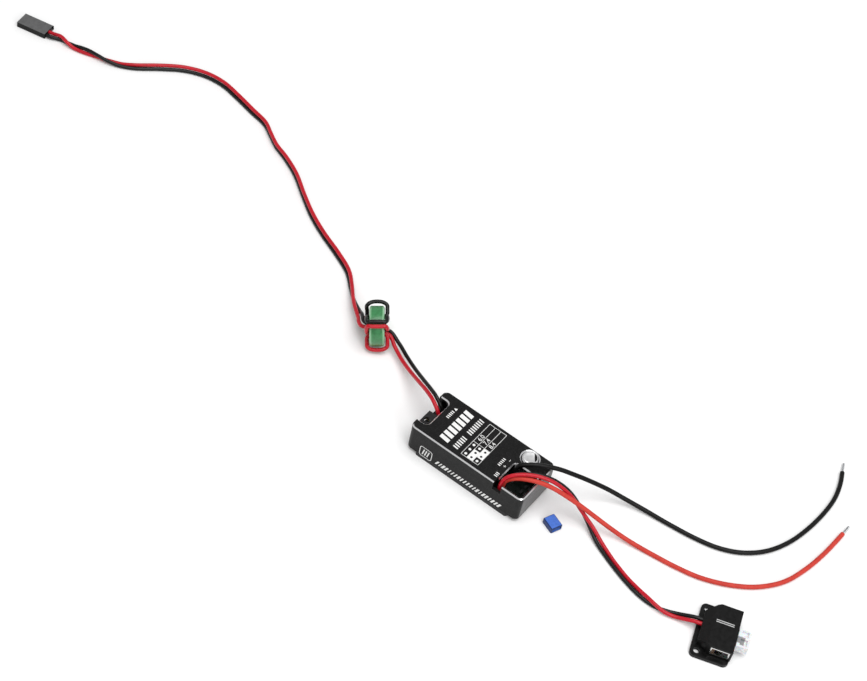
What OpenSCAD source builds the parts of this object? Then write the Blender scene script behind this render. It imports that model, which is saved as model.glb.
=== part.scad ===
// Switch-mode voltage regulator for radio-control models: an aluminium case with a
// switch lead, two battery leads and a servo-plug lead wound through a ferrite ring.
// Frame: X runs along the case towards the input leads, Z is up, and the origin is
// the middle of the case's underside, on the surface that everything lies on.

/* [Case] */
// Length of the case
case_length = 52; // [48:0.5:64]
// Width of the case
case_width = 23; // [22:0.5:30]
// Height from the underside of the base plate to the top of the cover
case_height = 14.2; // [13.5:0.1:18]
// Thickness of the cover's side walls
cover_wall = 1.2; // [0.9:0.1:1.6]
// Thickness of the cover's top
cover_roof = 1.6; // [1:0.1:2]
// Radius of the cover's upright corners
corner_radius = 2.2; // [1.6:0.1:3]
// Width of the bright cut along the cover's top edges
edge_cut = 0.45; // [0.2:0.05:0.6]
// Height of the base plate's foot below the cover
foot_height = 1.8; // [1.2:0.1:2.4]
// Length of the base plate's foot
foot_length = 43; // [40:0.5:44]
// Thickness of the base plate's tongue, which closes the cover
tongue_height = 1.2; // [0.8:0.1:1.4]
// Diameter of the base screws' threads
screw_diameter = 2; // [1.6:0.1:2.2]

/* [Openings in the cover] */
// Depth of the output notch in the left end
notch_depth = 4.9; // [4:0.1:6]
// Width of the output notch
notch_width = 14.6; // [14:0.1:15.6]
// Length of the input pocket
pocket_length = 11; // [9:0.1:12]
// Width of the slot that runs from the pocket through the near side
slot_width = 3.6; // [2:0.1:4.5]
// Depth of that slot
slot_depth = 4; // [2:0.1:5]

/* [Circuit board] */
// Thickness of the circuit board
board_thickness = 1.2; // [0.8:0.1:1.6]
// Gap between the base plate and the board
board_gap = 2; // [1.6:0.1:2.4]
// Diameter of the round capacitors
capacitor_diameter = 6.3; // [5:0.1:6.6]
// Height of the input capacitor above the board
capacitor_height = 8.7; // [8:0.1:9.5]
// Spacing of the pins in the jumper row and in the servo plug
pin_pitch = 2.54; // [2.54]
// Thickness of one square pin
pin_size = 0.64; // [0.5:0.02:0.8]

/* [Leads] */
// Outside diameter of the output wires
output_wire = 1.6; // [1.2:0.1:1.6]
// Outside diameter of the input wires
input_wire = 1.8; // [1.4:0.1:1.8]
// Outside diameter of the switch wires
switch_wire = 1.5; // [1.2:0.1:1.5]
// Diameter of the ferrite ring
ring_diameter = 16; // [14:0.5:16]
// Diameter of the hole in the ferrite ring
ring_hole = 9; // [8.5:0.1:10]
// Width of the ferrite ring along its axis
ring_width = 6; // [4:0.1:6]

/* [Servo plug] */
// Length of the plug
plug_length = 14; // [12:0.1:16]
// Width of the plug
plug_width = 7.6; // [7.4:0.1:9]
// Thickness of the plug
plug_height = 2.6; // [2.5:0.1:3]

/* [Switch] */
// Length of the base plate across the two ears
ear_span = 23.6; // [23:0.1:27]
// Distance between the mounting holes
hole_spacing = 18.8; // [18:0.1:20]
// Diameter of the mounting holes
hole_diameter = 2.4; // [2:0.1:2.6]
// Thickness of the switch's base plate
plate_thickness = 1.6; // [1.2:0.1:2]
// Height of the switch from its underside
switch_height = 7.2; // [6.8:0.1:10]
// Width of the knob
knob_width = 7.6; // [6:0.1:8]
// Travel of the knob
knob_travel = 3; // [2:0.1:3.4]

/* [Jumper] */
// Length of the jumper
jumper_length = 6; // [5.5:0.1:8]
// Width of the jumper
jumper_width = 5; // [4.8:0.1:5.6]
// Thickness of the jumper
jumper_height = 2.5; // [2.4:0.1:3]

/* [Hidden] */
$fn = 48;

// small is the overlap that a cutter needs past a face, and fit is the running gap
small = 0.5;
fit = 0.1;
half_length = case_length / 2;
half_width = case_width / 2;

// Heights inside the case
tongue_top = foot_height + tongue_height;
board_bottom = tongue_top + board_gap;
board_top = board_bottom + board_thickness;
roof_bottom = case_height - cover_roof;

// The cover's openings
notch_end = -half_length + notch_depth;
pocket_end = half_length - cover_wall;
pocket_start = pocket_end - pocket_length;
pocket_near = -half_width + cover_wall;
pocket_far = 1.6;
opening_radius = 1.8;

// Screws stand in bosses against the side walls
boss_diameter = 3.8;
boss_height = 5;
screw_x = 10.5;
screw_y = half_width - cover_wall - 1.4;
screw_head = 3.6;
screw_sink = 1.1;
screw_length = 6.4;

// The board and what stands on it
board_length = case_length - 2 * cover_wall - 1.2;
board_width = case_width - 2 * cover_wall - 0.8;
ledge_length = 1.6;
capacitor_base_height = 0.8;
capacitor_base_size = capacitor_diameter;
input_capacitor_place = [half_length - 9.2,
    half_width - cover_wall - capacitor_base_size / 2 - 0.15];
output_capacitor_place = [notch_end + 6.4, 0.5];
output_capacitor_height = 5.6;
capacitor_clearance = 0.35;
inductor_size = 10;
inductor_height = 5;

// The jumper's socket takes the near side of the notch
socket_width = 8.4;
socket_height = 4.8;
socket_wall = 0.5;
socket_far = 1.3;
socket_middle = socket_far - socket_width / 2;
socket_outer = -half_length + 0.1;
socket_inner = notch_end - 0.6;
header_depth = 2.5;
header_height = 3.4;
pin_level = board_top + 2;
pin_tail = 1.6;

// Solder joints: the place of each wire on the board
joint_height = 0.7;
output_joint_x = -half_length + 3.6;
output_joints = [[output_joint_x, 2.8, output_wire], [output_joint_x, 5.6, output_wire]];
input_joint_x = half_length - 11;
input_joints = [[input_joint_x, -7, input_wire], [input_joint_x, -0.2, input_wire]];
switch_joints = [[input_joint_x - 0.2, -9, switch_wire], [input_joint_x, -5, switch_wire]];

// The ring stands on its rim, turned and leaning a little
ring_turn = 37;
ring_lean = 8;
ring_centre = [-67.6, 22.7,
    ring_diameter / 2 * cos(ring_lean) + ring_width / 2 * sin(ring_lean)];
ring_axis = [cos(ring_turn) * cos(ring_lean), sin(ring_turn) * cos(ring_lean), sin(ring_lean)];
ring_near = [sin(ring_turn), -cos(ring_turn), 0];
ring_up = cross(ring_near, ring_axis);

// The plug lies flat beyond the output wires
plug_place = [-287, 59.6, 0];
plug_turn = 11.4;
plug_cavity = 1.9;
plug_entry = 3;

// The switch lies on its base plate; its own frame starts midway between its holes
switch_place = [104.5, -3.7, 0];
switch_turn = 19;
plate_back = -2.4;
plate_front = 12.2;
cover_front = 12.4;
cover_back = 2.8;
cover_shoulder = 4.2;
cover_span = 19.2;
snout_back = -0.8;
snout_span = 13;
snout_height = 4.6;
shell = 0.8;
frame_wall = 0.5;
frame_back = 4.4;
frame_front = cover_front - shell - fit;
frame_bottom = plate_thickness + 0.8;
frame_top = switch_height - shell - fit;
knob_rest = -1.2;
knob_out = 4.6;
knob_bottom = frame_bottom + 0.6;
knob_top = frame_top - 0.2;
stem_bottom = knob_bottom + 0.6;
stem_top = knob_top - 0.9;
slot_start = knob_rest - knob_width / 2 - 0.1;
slot_end = knob_rest + knob_width / 2 + knob_travel + 0.3;
terminal_start = 1.2;
terminal_level = 3.4;
terminal_places = [-4.8, 1, 2.9];
switch_wire_places = [1, 2.9];

// The jumper lies beside the case
jumper_place = [36.7, -2.5, 0];
jumper_turn = -22;
jumper_wall = 0.4;
jumper_depth = 5;

// Routes of the leads. Each point is [x, y, z] of the wire's middle, except on a pair's
// run, where it is [x, y, height of the pair's underside, roll of one wire about the other]
pair_gap = 0.1;
output_lead_red = [[-22.4, 2.8, 6.9], [-22.4, 2.8, 9], [-23.8, 3.2, 11.4], [-27, 4.6, 13],
    [-32, 7.4, 12], [-38, 11, 9.2], [-45, 15.4, 5.6], [-52, 19.6, 3.2], [-57.5, 22.3, 3.8]];
output_lead_black = [[-22.4, 5.6, 6.9], [-22.4, 5.6, 9], [-24.4, 5.9, 11.6], [-27.6, 6.9, 13.4],
    [-32, 9.5, 12], [-37.6, 13, 9.4], [-44.5, 17.6, 6], [-51.5, 22.1, 3.6], [-57.8, 25, 4]];
output_tail_red = [[-72.7, 19.1, 7.4], [-75, 20.6, 6.7], [-77, 22.9, 5.8]];
output_tail_black = [[-73.4, 21.4, 8.1], [-75, 23, 7.4], [-76.6, 24.8, 6.5]];
output_run = [[-79.2, 26, 3.9, 15], [-82.7, 28.9, 2.2, 45], [-86.3, 32.2, 0.9, 75], [-90.7, 36.7, 0.1, 100],
    [-97, 42.5, 0, 110], [-106, 47, 0, 110], [-117, 51.5, 0, 105], [-127, 56.5, 0, 105],
    [-137, 63, 0, 100], [-147, 70, 0, 100], [-156, 74.5, 0, 95], [-164, 77.5, 0, 90],
    [-170, 81, 0, 90], [-176, 84.5, 0, 100], [-185, 86.5, 0, 110], [-196, 89, 0, 115],
    [-205, 90.5, 0, 120], [-214, 89.5, 0, 120], [-223, 85.5, 0, 125], [-231, 79, 0, 135],
    [-239, 71.5, 0, 155], [-244.5, 68, 0, 185], [-250, 65.7, 0, 215], [-254.5, 64.4, 0, 250],
    [-259, 63.4, 0, 290], [-263, 62.6, 0, 330], [-266.5, 62, 0, 370], [-270, 61.5, 0, 415],
    [-273.5, 61.3, 0.1, 465]];
// Turns round the ring: where the wire passes the hole and the rim, as [radius, angle]
turns_black = [[3.5, 190], [9.5, 310], [3.6, 329], [9, 390], [1.2, 300]];
turns_red = [[3.6, 149], [9.4, 130], [3.6, 92], [9, 42], [0.8, 80]];
input_route_red = [[15, -7, 6.9], [15, -7, 9.5], [15.4, -6.6, 12.2], [18, -5, 14.6],
    [22.5, -2.7, 15.8], [27, -0.5, 15.6], [32, 1.7, 14.2], [37, 3.6, 12], [42, 5.3, 9.7],
    [48, 7, 6.9], [55, 8.7, 4], [62.5, 10.3, 1.8], [72, 11.8, 0.9], [82, 13.2, 0.9],
    [92, 15.6, 0.9], [102, 20.4, 0.9], [110.5, 27, 0.9], [117, 36, 0.9], [120.5, 47, 0.9],
    [122.3, 58, 0.9], [123, 67, 0.9], [123.2, 71, 0.9]];
input_route_black = [[15, -0.2, 6.9], [15, -0.2, 9.5], [15.1, 0, 12.6], [16.3, 1, 15.2],
    [19.2, 3, 16.4], [23.2, 5.8, 16.6], [28.4, 9.8, 15.2], [33, 13.3, 12.8], [38, 17, 10],
    [45, 21.5, 6.2], [52, 24.5, 3.3], [60, 26.7, 1.5], [70, 28, 0.9], [80, 29.3, 0.9],
    [90, 31.8, 0.9], [98, 36.2, 0.9], [104.5, 43, 0.9], [109, 52, 0.9], [111.5, 62, 0.9],
    [112.8, 74, 0.9], [112.5, 84, 0.9], [110.6, 92, 0.9], [108.6, 97, 0.9]];
tinned_length = 4.5;
tinned_diameter = 1.1;
switch_lead_red = [[14.8, -9, 6.9], [14.8, -9, 9.5], [14.8, -8.6, 12.6], [15.8, -7, 15.3],
    [19, -4.1, 17], [24.3, -0.5, 17.5], [29.5, 2.4, 16.2], [34.5, 4.6, 13.3],
    [38.7, 5.8, 10], [42.4, 5.9, 7.1]];
switch_lead_black = [[15, -5, 6.9], [15, -5, 9.5], [15.4, -4.6, 12.2], [17.5, -3, 14.8],
    [20, -1.6, 15.9], [24.3, 1.3, 16.5], [29.5, 4.3, 15], [34.8, 6.6, 11.8],
    [38.9, 7.5, 8.3], [42.6, 7.1, 5.3]];
switch_run = [[46.5, 5.6, 2.6, 100], [49.2, 4.6, 1.7, 75], [52, 3.4, 1, 50],
    [55, 2.1, 0.4, 28], [58.5, 0.7, 0.1, 12], [63.5, -1.3, 0, 0],
    [70.5, -3.8, 0, 0], [77, -5.6, 0, 20], [82, -6.6, 0, 60], [86, -6.9, 0, 100],
    [90, -6.2, 0, 150], [94, -4.9, 0.6, 180]];

function unit(v) = v / norm(v);
function after(p, i) = p[min(i + 1, len(p) - 1)];
function before(p, i) = p[max(i - 1, 0)];
function heading(p, i) = unit(after(p, i) - before(p, i));
// A point of the ring's own space: along its axis, out from it and round it from the top
function ring_point(along, radius, angle) = ring_centre + along * ring_axis
    + radius * (sin(angle) * ring_near + cos(angle) * ring_up);
function mix(a, b, share) = a + (b - a) * share;
// One side of a turn, from the hole to the rim; side is -1 or 1 along the axis. A turn
// that stands off the rim arches over it, and a tight one lies flat across it
function turn_side(hole, rim, side) =
    let (slack = rim[0] - ring_diameter / 2 - 1)
    [ring_point(side * (ring_width / 2 - 0.3), hole[0], hole[1]),
    ring_point(side * (ring_width / 2 + 0.9), hole[0] + 0.9, mix(hole[1], rim[1], 0.3)),
    ring_point(side * (ring_width / 2 + 1.05), 6.7, mix(hole[1], rim[1], 0.75)),
    ring_point(side * (ring_width / 2 + 0.55 + 0.7 * slack), rim[0] - 0.35 - 1.9 * slack, rim[1]),
    ring_point(side * (ring_width / 2 - 1.4 + slack), rim[0] - 0.2 * slack, rim[1])];
function reversed(p) = [for (i = [len(p) - 1:-1:0]) p[i]];
function whole_turn(hole, rim, next) = concat(turn_side(hole, rim, -1),
    reversed(turn_side(next, rim, 1)));
function ring_turns(t) = concat([ring_point(ring_width / 2 + 1.5, t[0][0], t[0][1])],
    whole_turn(t[0], t[1], t[2]), whole_turn(t[2], t[3], t[4]),
    [ring_point(-ring_width / 2 + 0.3, t[4][0], t[4][1]),
    ring_point(-ring_width / 2 - 1.2, t[4][0], t[4][1])]);
// One wire of a pair that lies on a surface: side is 1 for the first wire, -1 for the other
function pair_wire(run, wire, side) = [for (i = [0:len(run) - 1])
    let (ahead = heading([for (p = run) [p[0], p[1]]], i),
        half = (wire + pair_gap) / 2,
        roll = run[i][3])
    [run[i][0] - side * half * cos(roll) * ahead[1],
    run[i][1] + side * half * cos(roll) * ahead[0],
    run[i][2] + wire / 2 + half * (abs(sin(roll)) + side * sin(roll))]];
function placed(place, turn, p) = place
    + [p[0] * cos(turn) - p[1] * sin(turn), p[0] * sin(turn) + p[1] * cos(turn), p[2]];
function plug_end(y) = [for (x = [plug_length / 2 + 2, plug_length / 2, plug_length / 2 - plug_entry])
    placed(plug_place, plug_turn, [x, y, plug_height / 2])];
function switch_end(y) = [for (x = [snout_back - 2.5, snout_back, terminal_start])
    placed(switch_place, switch_turn, [x, y, terminal_level])];
function tinned_end(route) = last(route) + tinned_length * heading(route, len(route) - 1);
function last(p) = p[len(p) - 1];
// Directions across a tube that turn as little as they can from one ring to the next
function across(v, ahead) = unit(v - (v * ahead) * ahead);
function tube_normals(p) = [for (i = 0, n = across([0.31, 0.95, 0.05], heading(p, 0));
    i < len(p);
    i = i + 1, n = i < len(p) ? across(n, heading(p, i)) : n) n];

module tube(route, diameter) {
    sides = 8;
    normals = tube_normals(route);
    corners = [for (i = [0:len(route) - 1], k = [0:sides - 1])
        let (n = normals[i], b = cross(heading(route, i), n))
        route[i] + diameter / 2 * (cos(k * 360 / sides) * n + sin(k * 360 / sides) * b)];
    walls = [for (i = [0:len(route) - 2], k = [0:sides - 1])
        let (a = i * sides + k, b = i * sides + (k + 1) % sides)
        each [[a, a + sides, b + sides], [a, b + sides, b]]];
    start_cap = [for (k = [0:sides - 1]) k];
    end_cap = [for (k = [sides - 1:-1:0]) (len(route) - 1) * sides + k];
    polyhedron(corners, concat(walls, [start_cap], [end_cap]));
}

// A block with rounded upright corners whose top edge is cut at 45 degrees
module eased_block(length, width, bottom, top, radius, cut) {
    for (turned = [false, true]) {
        run = turned ? width - 2 * radius : length - 2 * radius;
        half = (turned ? length : width) / 2;
        rotate(turned ? [90, 0, 0] : [90, 0, 90])
            translate([0, 0, -run / 2])
                linear_extrude(run)
                    polygon([[-half, bottom], [half, bottom], [half, top - cut],
                        [half - cut, top], [cut - half, top], [-half, top - cut]]);
    }
    for (x = [-1, 1], y = [-1, 1])
        translate([x * (length / 2 - radius), y * (width / 2 - radius), 0]) {
            translate([0, 0, bottom])
                cylinder(h = top - cut - bottom, r = radius);
            translate([0, 0, top - cut])
                cylinder(h = cut, r1 = radius, r2 = radius - cut);
        }
}

// The cutter for a round-cornered opening: it flares at the cover's top edge
module flared_opening(x0, x1, y0, y1, bottom, radius) {
    flare = edge_cut + small;
    level = case_height - edge_cut;
    module upright(x, y)
        translate([x, y, 0])
            children();
    for (turned = [false, true]) {
        run = turned ? y1 - y0 - 2 * radius : x1 - x0 - 2 * radius;
        half = (turned ? x1 - x0 : y1 - y0) / 2;
        upright((x0 + x1) / 2, (y0 + y1) / 2)
            rotate(turned ? [90, 0, 0] : [90, 0, 90])
                translate([0, 0, -run / 2])
                    linear_extrude(run)
                        polygon([[-half, bottom], [half, bottom], [half, level],
                            [half + flare, level + flare], [-half - flare, level + flare],
                            [-half, level]]);
    }
    for (x = [x0 + radius, x1 - radius], y = [y0 + radius, y1 - radius])
        upright(x, y) {
            translate([0, 0, bottom])
                cylinder(h = level - bottom, r = radius);
            translate([0, 0, level])
                cylinder(h = flare, r1 = radius, r2 = radius + flare);
        }
}

module at_screws()
    for (x = [-screw_x, screw_x], y = [-screw_y, screw_y])
        translate([x, y, 0])
            children();

module case_cover() {
    inner_radius = corner_radius - cover_wall;
    color("#1c1c1e")
        difference() {
            union() {
                difference() {
                    eased_block(case_length, case_width, foot_height, case_height,
                        corner_radius, edge_cut);
                    eased_block(case_length - 2 * cover_wall, case_width - 2 * cover_wall,
                        foot_height - small, roof_bottom, inner_radius, 0.3);
                }
                intersection() {
                    at_screws()
                        translate([0, 0, tongue_top])
                            cylinder(h = boss_height, d = boss_diameter);
                    translate([-half_length + 1, -half_width + 0.6, 0])
                        cube([case_length - 2, case_width - 1.2, case_height]);
                }
            }
            flared_opening(-half_length - 4, notch_end, -notch_width / 2, notch_width / 2,
                board_top, opening_radius);
            flared_opening(pocket_start, pocket_end, pocket_near, pocket_far,
                roof_bottom - 2, opening_radius);
            translate([pocket_start - 0.8, -half_width - small, case_height - slot_depth])
                cube([slot_width, cover_wall + 2 * small + 1, slot_depth + small]);
            translate([input_capacitor_place[0], input_capacitor_place[1], 0]) {
                cylinder(h = case_height + small,
                    r = capacitor_diameter / 2 + capacitor_clearance);
                translate([0, 0, case_height - edge_cut])
                    cylinder(h = edge_cut + small,
                        r1 = capacitor_diameter / 2 + capacitor_clearance,
                        r2 = capacitor_diameter / 2 + capacitor_clearance + edge_cut + small);
            }
            at_screws()
                translate([0, 0, tongue_top - small])
                    cylinder(h = boss_height, d = screw_diameter);
        }
}

module base_plate() {
    foot_radius = 1;
    ledge_width = 14;
    color("#202022")
        difference() {
            union() {
                eased_block(foot_length, case_width, 0, foot_height, foot_radius, 0.01);
                eased_block(case_length - 2 * cover_wall - 2 * fit,
                    case_width - 2 * cover_wall - 2 * fit, foot_height, tongue_top,
                    corner_radius - cover_wall, 0.2);
                for (x = [-1, 1])
                    translate([x * (board_length / 2 - ledge_length / 2) - ledge_length / 2,
                        -ledge_width / 2, tongue_top - 0.3])
                        cube([ledge_length, ledge_width, board_gap + 0.3]);
            }
            at_screws() {
                translate([0, 0, -small])
                    cylinder(h = case_height, d = screw_diameter + 2 * fit);
                translate([0, 0, -0.01])
                    cylinder(h = screw_sink, r1 = screw_head / 2, r2 = screw_diameter / 2 + fit);
            }
        }
}

module base_screws() {
    socket = 1.1;
    color("#3a3a3d")
        at_screws()
            difference() {
                union() {
                    translate([0, 0, 0.1])
                        cylinder(h = screw_sink - 0.2, r1 = screw_head / 2 - 0.15,
                            r2 = screw_diameter / 2 - fit);
                    cylinder(h = 0.12, d = screw_head - 0.3);
                    translate([0, 0, screw_sink - 0.3])
                        cylinder(h = screw_length - screw_sink, d = screw_diameter - 2 * fit);
                }
                translate([0, 0, -small])
                    cylinder(h = small + 0.7, d = socket, $fn = 6);
            }
}

module thermal_pad() {
    pad_length = 17;
    pad_width = 12.6;
    pad_height = board_gap - 1;
    color("#8fb7d6")
        translate([-pad_length / 2, -pad_width / 2, tongue_top])
            cube([pad_length, pad_width, pad_height]);
}

module circuit_board() {
    boss_clearance = 0.3;
    tail_hole = 1;
    color("#14532d")
        difference() {
            translate([-board_length / 2, -board_width / 2, board_bottom])
                cube([board_length, board_width, board_thickness]);
            at_screws()
                cylinder(h = case_height, d = boss_diameter + 2 * boss_clearance);
            at_pins()
                translate([pin_tail_x(), 0, 0])
                    cylinder(h = case_height, d = tail_hole);
        }
}

module power_inductor() {
    color("#4a4a4c")
        translate([-3.2, 0, 0])
            eased_block(inductor_size, inductor_size, board_top, board_top + inductor_height,
                1.6, 0.5);
}

module can(place, height) {
    bottom = board_top + capacitor_base_height;
    radius = capacitor_diameter / 2;
    translate([place[0], place[1], 0])
        rotate_extrude()
            polygon([[0, bottom], [radius, bottom], [radius, bottom + 0.9],
                [radius - 0.3, bottom + 1.2], [radius - 0.3, bottom + 1.5],
                [radius, bottom + 1.8], [radius, board_top + height - 0.35],
                [radius - 0.35, board_top + height], [radius - 0.7, board_top + height],
                [radius - 0.8, board_top + height - 0.1], [0, board_top + height - 0.1]]);
}

module input_capacitor()
    color("silver")
        can(input_capacitor_place, capacitor_height);

module output_capacitor()
    color("silver")
        can(output_capacitor_place, output_capacitor_height);

module capacitor_bases()
    color("#222222")
        for (place = [input_capacitor_place, output_capacitor_place])
            translate([place[0], place[1], board_top])
                linear_extrude(capacitor_base_height)
                    difference() {
                        square(capacitor_base_size, center = true);
                        for (y = [-1, 1])
                            translate([capacitor_base_size / 2, y * capacitor_base_size / 2])
                                rotate(45)
                                    square(1.6, center = true);
                    }

// A row of equal chips, laid out along Y
module chips(x, places, size, bottom)
    for (y = places)
        translate([x - size[0] / 2, y - size[1] / 2, bottom])
            cube(size);

module mosfets() {
    package = [6, 5, 1];
    color("#2a2a2c")
        for (x = [-4.4, 4.4])
            chips(x, [-3.2, 3.2], package, board_bottom - package[2]);
}

module control_chip() {
    package = [5, 4, 1.4];
    lead = [0.4, 0.8, 0.3];
    color("#252527") {
        chips(7, [-3.6], package, board_top + 0.1);
        for (x = [5.1, 6.37, 7.64, 8.9])
            chips(x, [-5.8, -1.4], lead, board_top);
    }
}

module ceramic_capacitors() {
    package = [1.8, 3.2, 1.5];
    color("#b08d62")
        for (x = [4.6, 7, 9.4])
            chips(x, [2.6], package, board_top);
}

module chip_resistors() {
    package = [0.8, 1.6, 0.5];
    color("#333333")
        for (offset = [-2.8, 6, 7.6])
            chips(input_joint_x + offset, [-2.6, 0.6], package, board_top);
}

module jumper_socket() {
    peep_hole = 2.4;
    color("#1a1a1a")
        difference() {
            translate([socket_outer, socket_far - socket_width, board_top])
                cube([socket_inner - socket_outer, socket_width, socket_height]);
            translate([socket_outer - small, socket_far - socket_width + socket_wall,
                pin_level - 1.5])
                cube([socket_inner - socket_outer + 2 * small,
                    socket_width - 2 * socket_wall, 3]);
            translate([socket_outer + 1.9, socket_middle, board_top + 3])
                cylinder(h = socket_height, d = peep_hole);
        }
}

function pin_tail_x() = socket_inner + header_depth / 2 + 0.1;
module at_pins()
    for (k = [-1:1])
        translate([0, socket_middle + k * pin_pitch, 0])
            children();

module header_base() {
    color("#161616")
        difference() {
            translate([socket_inner + 0.1, socket_middle - 1.5 * pin_pitch, board_top])
                cube([header_depth, 3 * pin_pitch, header_height]);
            at_pins() {
                translate([socket_inner, -pin_size / 2, pin_level - pin_size / 2])
                    cube([header_depth / 2 + 0.1 + pin_size / 2, pin_size, pin_size]);
                translate([pin_tail_x() - pin_size / 2, -pin_size / 2, board_top - small])
                    cube([pin_size, pin_size, pin_level - board_top + small + pin_size / 2]);
            }
        }
}

module header_pins() {
    tip = socket_outer + 0.4;
    color("gold")
        at_pins() {
            translate([tip, -pin_size / 2, pin_level - pin_size / 2])
                cube([pin_tail_x() + pin_size / 2 - tip, pin_size, pin_size]);
            translate([pin_tail_x() - pin_size / 2, -pin_size / 2, board_bottom - pin_tail])
                cube([pin_size, pin_size, pin_level - board_bottom + pin_tail]);
        }
}

module solder_joints() {
    rim = 0.2;
    color("#c8ccd0")
        for (p = concat(output_joints, input_joints, switch_joints))
            translate([p[0], p[1], board_top])
                cylinder(h = joint_height, d1 = p[2] + rim, d2 = p[2] + 0.1);
}

module output_wire_red()
    color("#c81e2d")
        tube(concat(output_lead_red, ring_turns(turns_red), output_tail_red,
            pair_wire(output_run, output_wire, 1), plug_end(0)), output_wire);

module output_wire_black()
    color("#151515")
        tube(concat(output_lead_black, ring_turns(turns_black), output_tail_black,
            pair_wire(output_run, output_wire, -1), plug_end(-pin_pitch)), output_wire);

module ferrite_ring() {
    ease = 0.6;
    half = ring_width / 2;
    outer = ring_diameter / 2;
    inner = ring_hole / 2;
    color("#46965a")
        translate(ring_centre)
            rotate([0, 90 - ring_lean, ring_turn])
                rotate_extrude($fn = 96)
                    polygon([[inner, ease - half], [inner + ease, -half], [outer - ease, -half],
                        [outer, ease - half], [outer, half - ease], [outer - ease, half],
                        [inner + ease, half], [inner, half - ease]]);
}

module in_plug()
    translate(plug_place)
        rotate(plug_turn)
            children();

module plug_housing() {
    tip_hole = 1.1;
    bevel = 0.7;
    window = [2.4, 1.3, plug_height];
    color("#2b2b2d")
        in_plug()
            difference() {
                rotate([90, 0, 90])
                    translate([0, 0, -plug_length / 2])
                        linear_extrude(plug_length)
                            polygon([[-plug_width / 2, 0], [plug_width / 2, 0],
                                [plug_width / 2, plug_height - bevel],
                                [plug_width / 2 - bevel, plug_height],
                                [-plug_width / 2, plug_height]]);
                for (k = [-1:1])
                    translate([0, k * pin_pitch, plug_height / 2]) {
                        translate([-plug_length / 2 + 1.2, -plug_cavity / 2, -plug_cavity / 2])
                            cube([plug_length, plug_cavity, plug_cavity]);
                        translate([-plug_length / 2 - small, -tip_hole / 2, -tip_hole / 2])
                            cube([4, tip_hole, tip_hole]);
                        translate([-0.5, -window[1] / 2, -window[2]])
                            cube(window);
                    }
            }
}

module plug_contacts() {
    outside = [1.5, 1.3];
    bore = 0.8;
    start = -plug_length / 2 + 1.3;
    end = plug_length / 2 - plug_entry - 0.02;
    color("gold")
        in_plug()
            for (k = [-1, 0])
                translate([start, k * pin_pitch, plug_height / 2])
                    difference() {
                        translate([0, -outside[0] / 2, -outside[1] / 2])
                            cube([end - start, outside[0], outside[1]]);
                        translate([-small, -bore / 2, -bore / 2])
                            cube([6, bore, bore]);
                    }
}

module input_wire_red()
    color("#e64b41")
        tube(input_route_red, input_wire);

module input_wire_black()
    color("#151515")
        tube(input_route_black, input_wire);

module tinned_end(route) {
    ahead = heading(route, len(route) - 1);
    translate(last(route))
        rotate([0, 90, atan2(ahead[1], ahead[0])]) {
            cylinder(h = tinned_length - 0.5, d = tinned_diameter);
            translate([0, 0, tinned_length - 0.5])
                cylinder(h = 0.5, d1 = tinned_diameter, d2 = tinned_diameter / 2);
        }
}

module tinned_end_red()
    color("#c8ccd0")
        tinned_end(input_route_red);

module tinned_end_black()
    color("#c8ccd0")
        tinned_end(input_route_black);

module switch_wire_red()
    color("#c81e2d")
        tube(concat(switch_lead_red, pair_wire(switch_run, switch_wire, 1),
            switch_end(switch_wire_places[0])), switch_wire);

module switch_wire_black()
    color("#151515")
        tube(concat(switch_lead_black, pair_wire(switch_run, switch_wire, -1),
            switch_end(switch_wire_places[1])), switch_wire);

module in_switch()
    translate(switch_place)
        rotate(switch_turn)
            children();

module switch_base() {
    radius = 2;
    length = plate_front - plate_back;
    color("#181818")
        in_switch()
            difference() {
                translate([(plate_front + plate_back) / 2, 0, 0])
                    eased_block(length, ear_span, 0, plate_thickness, radius, 0.2);
                for (y = [-1, 1])
                    translate([0, y * hole_spacing / 2, -small])
                        cylinder(h = plate_thickness + 2 * small, d = hole_diameter);
            }
}

// The side outline of the switch's shell: a low snout for the wires, then the tall part
module snout_outline(inset)
    polygon([[snout_back + inset, plate_thickness - small * (inset > 0 ? 1 : 0)],
        [snout_back + inset, snout_height - inset * 0.6],
        [cover_back + inset * 0.6, switch_height - inset],
        [cover_front - inset, switch_height - inset],
        [cover_front - inset, plate_thickness - small * (inset > 0 ? 1 : 0)]]);

// The shell seen from above: it narrows from its shoulders to the snout
module shell_plan(inset) {
    wide = cover_span / 2 - inset;
    slope = (cover_span - snout_span) / 2 / (cover_shoulder - snout_back);
    slant = inset * sqrt(1 + slope * slope);
    back = snout_back + inset;
    narrow = snout_span / 2 + inset * slope - slant;
    shoulder = cover_shoulder + (slant - inset) / slope;
    polygon([[back, -narrow], [shoulder, -wide], [cover_front - inset, -wide],
        [cover_front - inset, wide], [shoulder, wide], [back, narrow]]);
}

module shell_form(inset)
    intersection() {
        rotate([90, 0, 0])
            translate([0, 0, -cover_span])
                linear_extrude(2 * cover_span)
                    snout_outline(inset);
        linear_extrude(2 * switch_height)
            shell_plan(inset);
    }

module switch_cover() {
    wire_hole = switch_wire + 0.2;
    color("#121212")
        in_switch()
            difference() {
                shell_form(0);
                shell_form(shell);
                translate([cover_front - 2, slot_start - 0.2, stem_bottom - 0.3])
                    cube([3, slot_end - slot_start + 0.4, stem_top - stem_bottom + 0.6]);
                translate([frame_back - fit, -cover_span / 2 - small,
                        plate_thickness - small])
                    cube([frame_front - frame_back + 2 * fit, shell + 2 * small,
                        frame_top + fit - plate_thickness + small]);
                for (y = switch_wire_places)
                    translate([snout_back - small, y, terminal_level])
                        rotate([0, 90, 0])
                            cylinder(h = 2, d = wire_hole);
            }
}

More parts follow.
